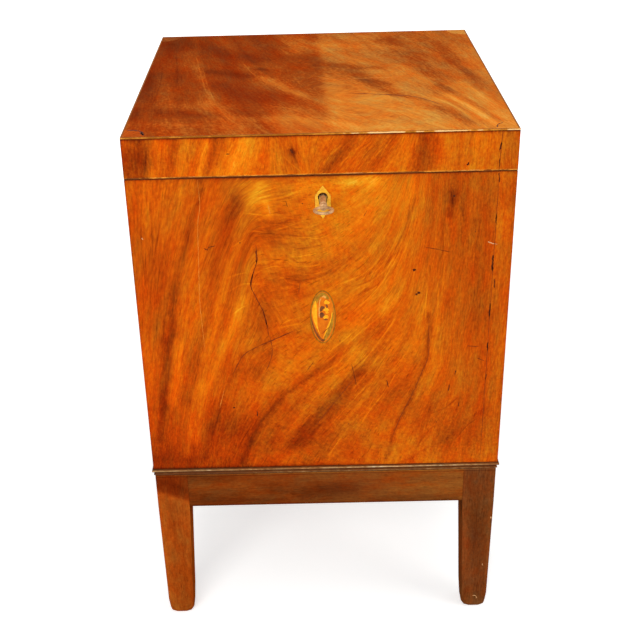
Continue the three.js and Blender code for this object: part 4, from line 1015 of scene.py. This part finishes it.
class Builder:
    """Collects closed shells in one mesh. lift turns a place on a surface, and a height, into a point."""

    def __init__(self):
        self.bm = bmesh.new()

    def shell(self, rings, closed=False):
        made = [[self.bm.verts.new(Vector(p) * MM) for p in ring] for ring in rings]
        for a, b in list(zip(made[:-1], made[1:])) + ([(made[-1], made[0])] if closed else []):
            for k in range(len(a)):
                m = (k + 1) % len(a)
                self.bm.faces.new((a[k], a[m], b[m], b[k]))
        if not closed:
            self.bm.faces.new(made[0][::-1])
            self.bm.faces.new(made[-1])

    def lathe(self, profile, origin, axis, side, sides=40):
        """profile holds a radius and a distance along the axis for each ring."""
        axis, side = Vector(axis), Vector(side)
        third = axis.cross(side)
        rings = []
        for radius, far in profile:
            radius = max(radius, LEAST_RADIUS)
            rings.append([Vector(origin) + axis * far + side * (radius * cos(t)) + third * (radius * sin(t))
                          for t in circle(sides)])
        self.shell(rings)

    def plate(self, outline, low, high, lift):
        """A closed outline between two heights."""
        self.shell([[lift(a, b, h) for a, b in outline] for h in (low, high)])

    def strip(self, points, width, lift, seed=0.0, ragged=0.25):
        """A tapering strip along a path, with uneven edges."""
        path = even_path(points, 1.6)
        rings = []
        for k, spot in enumerate(path):
            normal = normal_at(path, k)
            share = k / max(len(path) - 1, 1)
            full = width * min(1.0, 6 * min(share, 1 - share) + 0.25) / 2
            wave = ragged * width * (sin(k * 1.9 + seed) + sin(k * 0.83 + seed * 2.1)) / 2
            swell = full * (1 + ragged * (sin(k * 0.61 + seed * 1.7) + 0.4 * sin(k * 1.31 + seed)))
            middle = np.array(spot) + normal * wave
            left, right = middle + normal * swell, middle - normal * swell
            rings.append([lift(*left, STRIP), lift(*right, STRIP), lift(*right, BURIED), lift(*left, BURIED)])
        self.shell(rings)

    def ribbon(self, points, width, lift, high):
        """A thin strip whose edges and middle are apart; gives how much each vertex belongs to the middle."""
        path = even_path(points, 2.5)
        rings, share = [], []
        for k, spot in enumerate(path):
            swell = normal_at(path, k) * width / 2 * (1 + 0.3 * sin(k * 0.47 + width * 9))
            left, right = spot + swell, spot - swell
            rings.append([lift(*left, high), lift(*spot, high), lift(*right, high), lift(*right, RIBBON_FOOT),
                          lift(*left, RIBBON_FOOT)])
            ends = min(1.0, 5 * min(k, len(path) - 1 - k) / len(path))
            share += [0, ends * (0.75 + 0.25 * sin(k * 0.31 + width * 5)), 0, 0, 0]
        self.shell(rings)
        return share

    def box(self, low, high):
        (x0, y0, z0), (x1, y1, z1) = low, high
        self.shell([[(x0, y0, z), (x1, y0, z), (x1, y1, z), (x0, y1, z)] for z in (z0, z1)])

    def done(self, name, node, look=None, replaced=False, sharp=30):
        bmesh.ops.recalc_face_normals(self.bm, faces=self.bm.faces)
        return add_object(name, self.bm, node, look, replaced,
                          lambda points: (plain_grain(points, Z, seed_of(name)),), sharp)


def on_front(a, b, h):
    return (a, FRONT - h, CASE_FOOT + b)


def on_leg(a, b, h):
    """The front of a front leg, which leans back a little towards the foot."""
    return (a, FRONT + LEG_BACK + LEG_LEAN * min(max((-RAIL - b) / TAPER_TOP, 0), 1) - h, CASE_FOOT + b)


def on_lid(a, b, h):
    return (a, FRONT - h, LID_RIM + b)


def on_top(a, b, h):
    return (a, b + SHIFT, LID_TOP + min(h, 0))


def on_sunk_top(a, b, h):
    return (a, b + SHIFT, LID_TOP - SUNK + h * 0.6)


# Key: a shank with two collars and a bit, and an oval bow that lies flat.
SHOULDER, TIP = -29.3, 14.1     # ends of the shank behind the front's face
SHANK, BORE, BORE_DEPTH = 3.2, 1.8, 17
COLLAR = pairs("3.2,0 3.9,0.15 4.25,0.55 4.3,1.1 4.25,1.65 3.9,2.05 3.2,2.2")
COLLAR_STEP = 6.5
NECK = (2.45, SHOULDER - 0.75)
BOW_X, BOW_Y, BOW_MIDDLE = 9.9, 8.32, SHOULDER + 1.5 - 9.75
BOW_FLAT = 0.84                 # how much shorter the wire's outward way is along the key
WIRE, INWARD = 1.68, 1.45       # the wire's radius, and how much thicker it is inward
steel_key = Builder()
collars = [(radius, start + far) for start in (SHOULDER, SHOULDER + COLLAR_STEP) for radius, far in COLLAR]
tip = [(SHANK, TIP - 0.3), (2.9, TIP), (BORE, TIP), (BORE, TIP - BORE_DEPTH), (0, TIP - BORE_DEPTH)]
steel_key.lathe([(0, NECK[1]), NECK] + collars + tip, (KEY_X, FRONT, KEY_Z), (0, 1, 0), (1, 0, 0))
bow = []
for turn in circle(72):
    x, y = KEY_X + BOW_X * cos(turn), FRONT + (BOW_MIDDLE + BOW_Y * sin(turn))
    reach = [WIRE * cos(t) * (1 if cos(t) > 0 else INWARD) for t in circle(16)]
    bow.append([(x + cos(turn) * far, y + sin(turn) * BOW_FLAT * far, KEY_Z + WIRE * sin(t))
                for far, t in zip(reach, circle(16))])
steel_key.shell(bow, closed=True)
steel_key.box((KEY_X + 2.5, FRONT + TIP - 7.8, KEY_Z - 1.25), (KEY_X + 8.6, FRONT + TIP - 0.4, KEY_Z + 1.25))
steel_key.done("key_look", "key", replaced=True, sharp=35)


# Carrying handles: turned posts with their nuts inside, and swan-neck bails.
HANDLE_X, HANDLE_Z = 234, CASE_FOOT + 261.62
SPREAD = 38                     # the posts, from the handle's middle
BAIL_END, DROP = 42, 36         # the bail's ends from there, and how far it hangs
EYE_RADIUS, GAP = 6.2, 0.4      # the posts' eyes, and the bail's play beside them
WIRE_RADIUS, GRIP, THICKEST = 2.2, 1.7, 3.88    # the bail's radius, what its grip adds, and the most it has
ROSE = -13.95                   # the rose's face on the veneer, from the bail's axis
WALL = ROSE - 16.3              # the boards' inner face
STEPS = 110
POST = pairs("""
0,-1 10.9,-1 11,0 11,0.7 10.7,1.15 10.1,1.3 9.7,1.0 9.3,0.95 8.9,1.2 8.4,1.9 7.4,2.4 6.2,2.6
5.2,2.9 4.4,3.6 4.0,4.6 4.1,5.4 4.7,5.7 5.0,6.1 4.7,6.5 4.1,6.8 3.9,7.6 4.0,8.6
""")
NUT = pairs("0,-0.2 5.4,-0.2 6,-0.6 6,-2.6 5.4,-3 0,-3")


def swan_neck(count):
    """Even points along the bail's middle line, through a centripetal Catmull-Rom curve."""
    inside = SPREAD - EYE_RADIUS - GAP
    neck = inside - WIRE_RADIUS - GAP
    half = [(-BAIL_END, 0), (-SPREAD, 0), (-inside, 0), (-neck, -DROP * 0.12),
            (-neck - DROP * 0.02, -DROP * 0.38), (-SPREAD + DROP * 0.08, -DROP * 0.66),
            (-SPREAD * 0.62, -DROP * 0.95), (0, -DROP)]
    points = [np.array(p, float) for p in half + [(-y, z) for y, z in half[-2::-1]]]
    points = [2 * points[0] - points[1]] + points + [2 * points[-1] - points[-2]]
    fine = []
    for i in range(1, len(points) - 2):
        p = points[i - 1:i + 3]
        t = [0.0]
        for a, b in zip(p[:-1], p[1:]):
            t.append(t[-1] + max(np.linalg.norm(b - a), 1e-6) ** 0.5)
        for k in range(24):
            at = t[1] + (t[2] - t[1]) * k / 24
            a1 = [(p[j] * (t[j + 1] - at) + p[j + 1] * (at - t[j])) / (t[j + 1] - t[j]) for j in range(3)]
            a2 = [(a1[j] * (t[j + 2] - at) + a1[j + 1] * (at - t[j])) / (t[j + 2] - t[j]) for j in range(2)]
            fine.append((a2[0] * (t[2] - at) + a2[1] * (at - t[1])) / (t[2] - t[1]))
    fine = np.array(fine + [points[-2]])
    far = np.concatenate([[0], np.cumsum(np.linalg.norm(np.diff(fine, axis=0), axis=1))])
    wanted = np.linspace(0, far[-1], count + 1)
    return np.stack([np.interp(wanted, far, fine[:, k]) for k in (0, 1)], -1)


def moved(profile, far):
    return [(radius, far + ahead) for radius, ahead in profile]


for name, sign in (("left", -1), ("right", 1)):
    for end, place in ((-1, "front"), (1, "back")):
        node = "handle_%s_%s_post" % (name, place)
        post = Builder()
        eye = [(EYE_RADIUS * sin(t), -EYE_RADIUS * cos(t))
               for t in (radians(45 + 135 * k / 18) for k in range(19))]
        bolt = [(0, ROSE - 0.6), (2.8, ROSE - 0.6), (2.8, WALL - 4.1), (2.4, WALL - 4.4), (0, WALL - 4.4)]
        origin = (sign * HANDLE_X, SHIFT + end * SPREAD, HANDLE_Z)
        for profile, sides in ((moved(POST, ROSE) + eye, 48), (bolt, 24), (moved(NUT, WALL), 6)):
            post.lathe(profile, origin, (sign, 0, 0), (0, 1, 0), sides)
        post.done(node + "_look", node, replaced=True, sharp=32)
    node = "handle_%s_bail" % name
    bail = Builder()
    path = swan_neck(STEPS)
    rings = []
    for i, (y, z) in enumerate(path):
        ahead = path[min(i + 1, STEPS)] - path[max(i - 1, 0)]
        ahead = ahead / np.linalg.norm(ahead)
        grip = max(0, 1 - abs(i / STEPS - 0.5) * 4) ** 2
        radius = min(WIRE_RADIUS + GRIP * grip * (3 - 2 * grip), THICKEST)
        rings.append([(sign * HANDLE_X + radius * cos(t), SHIFT + y - ahead[1] * radius * sin(t),
                       HANDLE_Z + z + ahead[0] * radius * sin(t)) for t in circle(18)])
    bail.shell(rings)
    bail.done(node + "_look", node, replaced=True, sharp=40)


# Screws: slotted heads of the hinges, the lock and the link plate.
SLOT = 0.4
SCREW_FOOT, CROWN = -0.5, 0.17
HINGE_X, HINGE_SCREWS_X, HINGE_SCREWS_Y = 140.8, 22, 231.4
LOCK_SCREWS_X, RIM_SCREWS_Y, CAP_SCREWS_Y = 39.4, -187.15, -181.15
CAP_SCREWS_Z = (KEY_Z - 12.25, KEY_Z + 18.15)


def screw(builder, x, y, z, axis, sign=1, radius=1.9, turn=0.4):
    """A slotted head, flush but for its crown. It faces along the axis, either way."""
    def lift(a, b, h):
        return (x + a, y + b, z + sign * h) if axis == Z else (x + a, y + sign * h, z + b)

    edge = math.asin(SLOT / 2 / radius)
    for half in (0, 1):
        angles = [edge + (pi - 2 * edge) * k / 12 + half * pi + turn for k in range(13)]
        builder.plate([(radius * cos(t), radius * sin(t)) for t in angles], SCREW_FOOT, CROWN, lift)


for sign, place in ((-1, "left"), (1, "right")):
    case_screws, lid_screws = Builder(), Builder()
    for k, dx in enumerate((-HINGE_SCREWS_X, 0, HINGE_SCREWS_X)):
        screw(case_screws, sign * HINGE_X + dx, HINGE_SCREWS_Y, CASE_RIM, Z, turn=0.5 * k + sign)
        screw(lid_screws, sign * HINGE_X + dx, HINGE_SCREWS_Y, LID_RIM, Z, -1, turn=0.9 * k + sign)
    case_screws.done("hinge_%s_case_screws" % place, "hinge_%s_case_leaf" % place)
    lid_screws.done("hinge_%s_lid_screws" % place, "hinge_%s_lid_leaf" % place)

rim_screws, cap_screws, link_screws = Builder(), Builder(), Builder()
for k, dx in enumerate((-LOCK_SCREWS_X, LOCK_SCREWS_X)):
    screw(rim_screws, KEY_X + dx, RIM_SCREWS_Y, CASE_RIM, Z, turn=0.7 + k)
    screw(link_screws, KEY_X + dx * 0.93, RIM_SCREWS_Y, LID_RIM, Z, -1, turn=0.2 + k)
    for z in CAP_SCREWS_Z:
        screw(cap_screws, KEY_X + dx * 0.8, CAP_SCREWS_Y, z, Y, radius=1.6, turn=k + z)
rim_screws.done("lock_rim_screws", "lock_case")
cap_screws.done("lock_cap_screws", "lock_cap")
link_screws.done("link_plate_screws", "link_plate")


# The patera's marquetry: a tint, its height, its colours, and outlines from the patera's middle.
dress("patera_band", bevel=0.1, segments=1, limit=60)
dress("patera_ground", bevel=0.05, segments=1, limit=60)
PATERA_X, PATERA_UP, PATERA_NARROWED = -0.45, 216, 0.97
PATERA = (
    ("olive", 0.03, "be841e 8e5c18", """
5.5,-12 9.5,-4 12.4,6 12.6,14 13.2,12 13.7,0 12.6,-12 8.4,-24 2.6,-32 1.2,-31 2.4,-26
-12.2,16 -9.6,24 -5,30.5 0,33.4 5,31 8.6,25 5.8,24 1,27.6 -3,26 -6,19 -8,22
"""),
    ("umber", 0.03, "964e1e 703816", """
-13.6,2 -12.4,-4 -9,-16 -4.4,-25 -1,-29.4 2,-31 0,-33.6 -5,-29.4 -10,-20 -13.2,-8
"""),
    ("yellow", 0.05, "ffb222 f09210", """
-8.4,22.4 -11.4,15 -12.7,7 -11,-4 -7,-15 -3,-25 -6.2,-12 -6.4,4 -6.9,16
11.4,6 9.6,-3 5.4,-13 0.6,-27 1.6,-26 7.6,-13 11,-2 12.1,5
2,20.4 4.4,23.2 6.6,21.6 9.4,20 8,17.8 5,17.4 2.4,18.4
2.2,12 4.6,14 6.8,11.6 8.4,9.4 6.4,8 7.8,5.6 4.2,5.2 3.4,8.4 1.4,9
0.6,0.4 3,2.4 5.6,2.8 7.4,0.6 6.6,-1.8 4,-1.2 2.2,-2.4
"""),
    ("pale", 0.06, "ecaa58 d68a32", """
-3.7,22 -4.4,14 -4.8,4 -4.5,-1 -3.6,3 -3.3,12 -2.9,20 -1,25.4 -2.4,24.6
-0.6,27 2,29.4 4.4,27 3.4,25 1.6,26.8
"""),
    ("dark", 0.07, "884e28 5c2e18", """
-3.2,11.6 -1.4,15 1.8,14.4 3,12 0.6,11 -0.6,8.4 -3,8
3.9,17 6,16.6 6.4,13.4 5.2,12 4.6,14.4
-3.4,4.6 -1,6.8 1.4,5 2.4,2.8 0.4,0 -2.2,-0.6 -3,1.6
1.4,-3 4,-2.2 6.8,-3 4.6,-4.2 2.4,-3.9
"""),
)
for tint, high, colours, outlines in PATERA:
    inlay = Builder()
    for outline in paths(outlines):
        curve = [(a * PATERA_NARROWED + PATERA_X, PATERA_UP + b) for a, b in smooth(outline, closed=True)]
        inlay.plate(curve, INLAY_FOOT, high, on_front)
    inlay.done("patera_" + tint, "patera_ground", stain("patera_" + tint, colours, high * 40))


# Fine lines in the figure, cracks, scratches and old worm holes.

FRONT_FACE = (on_front, "case_front_veneer")
LID_FACE = (on_lid, "lid_front_veneer")
TOP_FACE = (on_top, "lid_top_veneer")
SUNK_TOP_FACE = (on_sunk_top, "lid_top_veneer")
LEG_FACE_RIGHT = (on_leg, "leg_front_right")


def marks(name, look, face, text):
    """Strips on a face. text holds a width and a path to a line."""
    builder = Builder()
    for k, (points, width) in enumerate(rows(text)):
        builder.strip(smooth(points), width, face[0], k * 1.37)
    builder.done(name, face[1], look)


def ripples(name, face, paint, *groups):
    """Fine soft lines in a veneer: ribbons of the same wood, lighter or darker along their middles."""
    builder, gains = Builder(), []
    lines = [(gain, k, line) for gain, text in groups for k, line in enumerate(paths(text))]
    for count, (gain, k, line) in enumerate(lines):
        # No two ribbons near each other have the same height, so that they don't flicker where they cross.
        high = 0.02 + 0.0015 * (count * 17 % 41)
        gains += [gain * v for v in builder.ribbon(smooth(line), 3 + 0.9 * sin(k * 2.3), face[0], high)]
    mesh = builder.done(name, face[1]).data
    grain, tone, hue = paint(coordinates(mesh))
    set_attributes(mesh, grain, tone + np.array(gains), hue)


ripples("front_ripples", FRONT_FACE, front_paint, (0.17, """
-74,335 -67,332 -60,329 -49,332 -36,336 -24,340 -10,342
-86,330 -75,330 -63,328 -49,328
-31,320 -18,321 -5,319 12,325
-40,301 -31,296 -20,298 -5,300
-43,293 -34,286 -20,284 -5,285 12,289
-40,278 -26,274 -8,274 12,280
-49,270 -41,264 -26,261 -12,265 12,272
-52,267 -47,270 -42,265 -35,257
-51,207 -42,212 -33,215 -21,218
-55,202 -39,206 -21,209
-80,274 -69,281 -55,285 -46,283
-115,251 -106,256 -95,262 -85,263 -66,261
-114,269 -100,275 -87,278
-106,309 -97,315 -89,321
-91,352 -81,352 -67,350 -50,350 -30,349
-62,367 -48,370 -29,377 -18,381
-74,378 -61,380 -47,385
-76,370 -60,373 -43,377
-89,235 -98,230 -107,222
109,394 106,355 96,315 82,283 65,254 39,225 20,211
99,333 88,302 71,274 48,258 24,245
95,349 84,312 67,280 41,263 18,254
104,327 93,296 76,267 53,248 29,235 19,231
84,324 70,296 50,274 26,262 6,256
74,237 56,214 29,188 5,166
82,247 68,217 41,191 14,164 -5,148
94,237 83,207 68,183 50,156 32,135
80,169 63,134 41,105 19,77 -3,51
71,169 53,138 32,109
93,147 78,115 57,83 38,50
18,221 32,232 50,248
-5,136 14,149 29,163
123,262 122,229 122,202
135,262 136,229 133,188
32,61 13,31 3,12
"""), (-0.16, """
-76,326 -63,327 -36,324 -18,322 -5,324 13,331
-67,341 -50,339 -36,343 -21,347
-52,275 -41,268 -26,266 -6,269 12,275
-43,299 -34,293 -26,289 -11,290
-79,286 -65,287 -52,293 -44,294
-56,367 -43,369 -29,374
-37,309 -25,307 -11,309 7,311
100,367 98,340 87,309 76,286
84,302 73,283 56,264 32,255
90,293 79,270 56,253 35,242
125,206 126,181 125,154
68,183 50,159 26,135
145,384 149,354 146,332
138,332 140,307 137,282
157,357 162,341
128,74 150,84 168,102
164,35 179,57 197,72
114,21 126,44 141,62
-178,380 -183,347 -192,309 -201,271
-192,375 -194,335 -195,300
-175,270 -187,224 -194,176
-205,366 -207,310 -207,251
-163,196 -173,154 -183,119
-126,103 -134,73 -145,36
-87,72 -104,42 -118,12
"""))
ripples("lid_front_ripples", LID_FACE, lid_front_paint, (0.15, """
-1,9 14,26 27,37
19,8 33,23 49,37
-44,27 -34,15 -20,3
58,19 74,33
-128,41 -139,15
-124,42 -133,21
-96,40 -106,20
80,42 66,22
"""), (-0.14, """
16,5 36,25 58,39
-33,36 -28,21 -23,9
41,8 52,25 66,36
-190,42 -193,25 -196,5
-157,39 -161,19 -167,4
165,37 168,19 168,4
104,38 103,15
"""))
ripples("top_ripples", SUNK_TOP_FACE, top_paint, (0.13, """
-72,-1 -52,-41 -21,-79 -1,-111
-101,84 -79,11 -52,-46
20,-14 68,-13 100,-10
-8,5 35,-27 72,-40
51,-85 94,-79 126,-61
10,-140 47,-161 85,-191
122,-39 152,-94 180,-153 190,-185
138,-8 165,-64 191,-136
92,157 108,129 123,76
59,203 97,178
-149,52 -137,-28 -123,-101
-165,128 -152,40 -136,-60
-60,-116 -27,-137 -2,-184
-45,-77 -10,-110
88,-146 113,-184 138,-212
36,163 65,174 85,158
-115,-130 -101,-168 -83,-195
64,-125 95,-137 124,-167
171,-22 191,-76 204,-146
"""), (-0.13, """
25,-52 63,-81 93,-89 126,-116 143,-146
39,47 57,28 81,43
140,-19 163,-84 174,-153
-100,48 -66,33
-30,-155 -10,-166 15,-177
25,-141 47,-161 62,-189
-196,158 -183,55 -174,-46
-204,69 -197,-23 -198,-124
-55,172 -41,130 -20,102
"""))
marks("front_long_crack", SOFT_CRACK, FRONT_FACE, """
1: -76,313 -75,295 -79,281 -84,265 -83,256 -77,241 -69,220 -65,190
1.4: -76,306 -76,290
1.4: -81,276 -84,260
1.2: -71,226 -67,206
1.1: -36,198 -57,188 -77,179
0.8: -77,179 -97,166 -111,140
""")
marks("front_cracks", CRACK, FRONT_FACE, """
0.7: -136,310 -132,308 -130,311 -122,313
1.1: 199,395 200,383
1.2: 199,345 199,332
1.9: 198,293 198,272
1.6: 198,230 198,211
1.5: 198,177 198,164
1: 201,262 202,250
1.4: -84,86 -83,77
0.9: 77,126 79,116
1: 161,138 160,131
1: 167,92 166,85
1: 154,118 153,108
1: 199,132 198,123
0.6: 173,172 188,171
0.6: 186,155 196,150
0.6: 119,305 133,302 148,298
0.6: 34,150 40,119
""")
marks("front_seams", FAINT, FRONT_FACE, """
0.6: 199.4,395 199,323 198.5,243 198,143 197.6,63 197,5
0.8: 126,213 127,161 118,132 108,103 97,78 85,42
0.7: -64,193 -62,168 -70,143
0.8: 40,134 11,93 -12,61
0.9: -12,155 -20,143
0.6: 8,203 -2,193
0.7: -26,263 -28,249
0.6: 52,353 48,345
0.6: -40,367 -38,359
""")
marks("front_scratches", SCRATCH, FRONT_FACE, """
0.5: -138,395 -137,364 -141,340 -143,293 -145,243 -144,202 -143,172
0.5: -123,117 -130,91
0.8: -60,363 -58,351
""")
marks("front_chips", PALE, FRONT_FACE, """
0.9: 191,310 196,308 202,306.5
1.1: -206,325 -205,322.5
""")
marks("leg_chips", PALE, LEG_FACE_RIGHT, """
0.8: 198.6,-225.6 202.5,-226 204.6,-229 203.6,-231
1.1: 209.4,-169.6 210,-172.4
1.4: 216.8,-89 216.4,-92
""")
KEYHOLE, KEYHOLE_FOOT = 5.05, (3.9, -9)
arch = [(KEYHOLE * cos(t), KEYHOLE * sin(t)) for t in (radians(208 - 236 * k / 24) for k in range(25))]
rim = [(KEY_X + a, KEY_UP + b) for a, b in [(-KEYHOLE_FOOT[0], KEYHOLE_FOOT[1])] + arch + [KEYHOLE_FOOT]]
# A dark strip round the keyhole's arch: painted shade of the hole's inside, with dirt.
rim_shade_and_dirt = Builder()
rim_shade_and_dirt.strip(smooth(rim), 1.15, on_front, ragged=0.06)
rim_shade_and_dirt.done("keyhole_rim", "escutcheon", KEYHOLE_SHADE_AND_DIRT)
holes = Builder()
for k, ([(x, z)], radius) in enumerate(rows("""
1.2: -112,91
1.9: 107,276
1.9: 113,246
1.4: 110.5,244
1.2: 150,368
0.7: -94,316
0.7: -21,363
0.7: 20,183
0.6: 64,93
0.7: 140,63
0.6: -40,43
0.6: 176,323
0.6: 30,63
""")):
    holes.plate([(x + radius * (1 + 0.25 * sin(3 * t + k)) * cos(t),
                  z + radius * (1 + 0.2 * sin(2 * t + k)) * sin(t)) for t in circle(12)],
                BURIED, HOLE, on_front)
holes.done("front_worm_holes", "case_front_veneer", CRACK)
marks("lid_front_cracks", CRACK, LID_FACE, """
1.3: 200,34 198,24
0.9: 199,15 199,4
1.8: 165,11 163,7
1.6: -33,31 -30,26
1.2: -104,27 -100,27
""")
marks("lid_front_seams", FAINT, LID_FACE, "0.7: 200.5,46 199.5,21 199,1")
marks("top_cracks", CRACK, TOP_FACE, """
2.1: -216,-195 -205,-196.5 -198,-202 -194.5,-215
2.6: -199,-203 -194.5,-214
0.8: 42,-76 76,-84 111,-93 128,-108 142,-127
1.2: 194.5,-215 198,-204 204,-199
""")
marks("top_scratches", SCRATCH, TOP_FACE, "0.5: -6,-12 17,-14 36,-16 106,-13")


# Floor, light and background

FLOOR_GLOW, FAR_GLOW = 0.52, 0.48       # the floor's own light near the object, and what is added far away
GLOW_REACH = (0.7, 2.2)                 # between these distances, in metres
WORLD_LIGHT = 0.4
# Each lamp: its place and size in metres, and its power. All aim at the middle of the case.
LAMPS = (("softbox_front", (-0.9, -2.6, 1.7), 1.6, 50),
         ("softbox_right", (2.4, -1.2, 1.6), 1.4, 22),
         ("softbox_top", (0.2, 0.3, 3.0), 1.8, 23))
AIM = Vector((0, 0, 0.4))


def make_stage():
    """A pale floor that fades to the background's white away from the object."""
    t = Look("floor_white")
    shade = t.noise(t.place(), (1.5, 1.5, 1.5))
    t.finish(t.mix(shade, rgb("e8e8e6"), rgb("f0f0ee")), 0.9, 0.1)
    reach = t.filled(t.node("ShaderNodeVectorMath", operation="LENGTH"), t.place(), out="Value")
    far = t.times(t.fade(reach, *GLOW_REACH), FAR_GLOW)
    power = t.times(t.seen(), t.math("ADD", far, FLOOR_GLOW))
    glow = t.filled(t.node("ShaderNodeEmission"), (1, 1, 1, 1), power)
    both = t.filled(t.node("ShaderNodeAddShader"), t.shader.outputs[0], glow)
    t.put(t.out.inputs["Surface"], both)
    bm = bmesh.new()
    bmesh.ops.create_grid(bm, x_segments=8, y_segments=8, size=6)
    mesh = bpy.data.meshes.new("floor")
    bm.to_mesh(mesh)
    bm.free()
    floor = bpy.data.objects.new("floor", mesh)
    mesh.materials.append(t.material)
    link(floor)


def make_lights():
    """A white background, a dimmer light from all around, and three softboxes."""
    world = bpy.data.worlds.new("studio")
    bpy.context.scene.world = world
    world.use_nodes = True
    t = Tree(world.node_tree)
    light = t.filled(t.node("ShaderNodeBackground"), (0.96, 0.98, 1.0, 1), WORLD_LIGHT)
    white = t.filled(t.node("ShaderNodeBackground"), (1, 1, 1, 1), 1.0)
    mixed = t.filled(t.node("ShaderNodeMixShader"), t.seen(), light, white)
    t.put(t.node("ShaderNodeOutputWorld").inputs["Surface"], mixed)
    for name, place, size, power in LAMPS:
        data = bpy.data.lights.new(name, "AREA")
        data.shape = "SQUARE"
        data.size = size
        data.energy = power
        lamp = bpy.data.objects.new(name, data)
        lamp.location = place
        lamp.rotation_euler = (AIM - Vector(place)).to_track_quat("-Z", "Y").to_euler()
        link(lamp)


make_stage()
make_lights()
bpy.context.scene.view_settings.view_transform = "Standard"
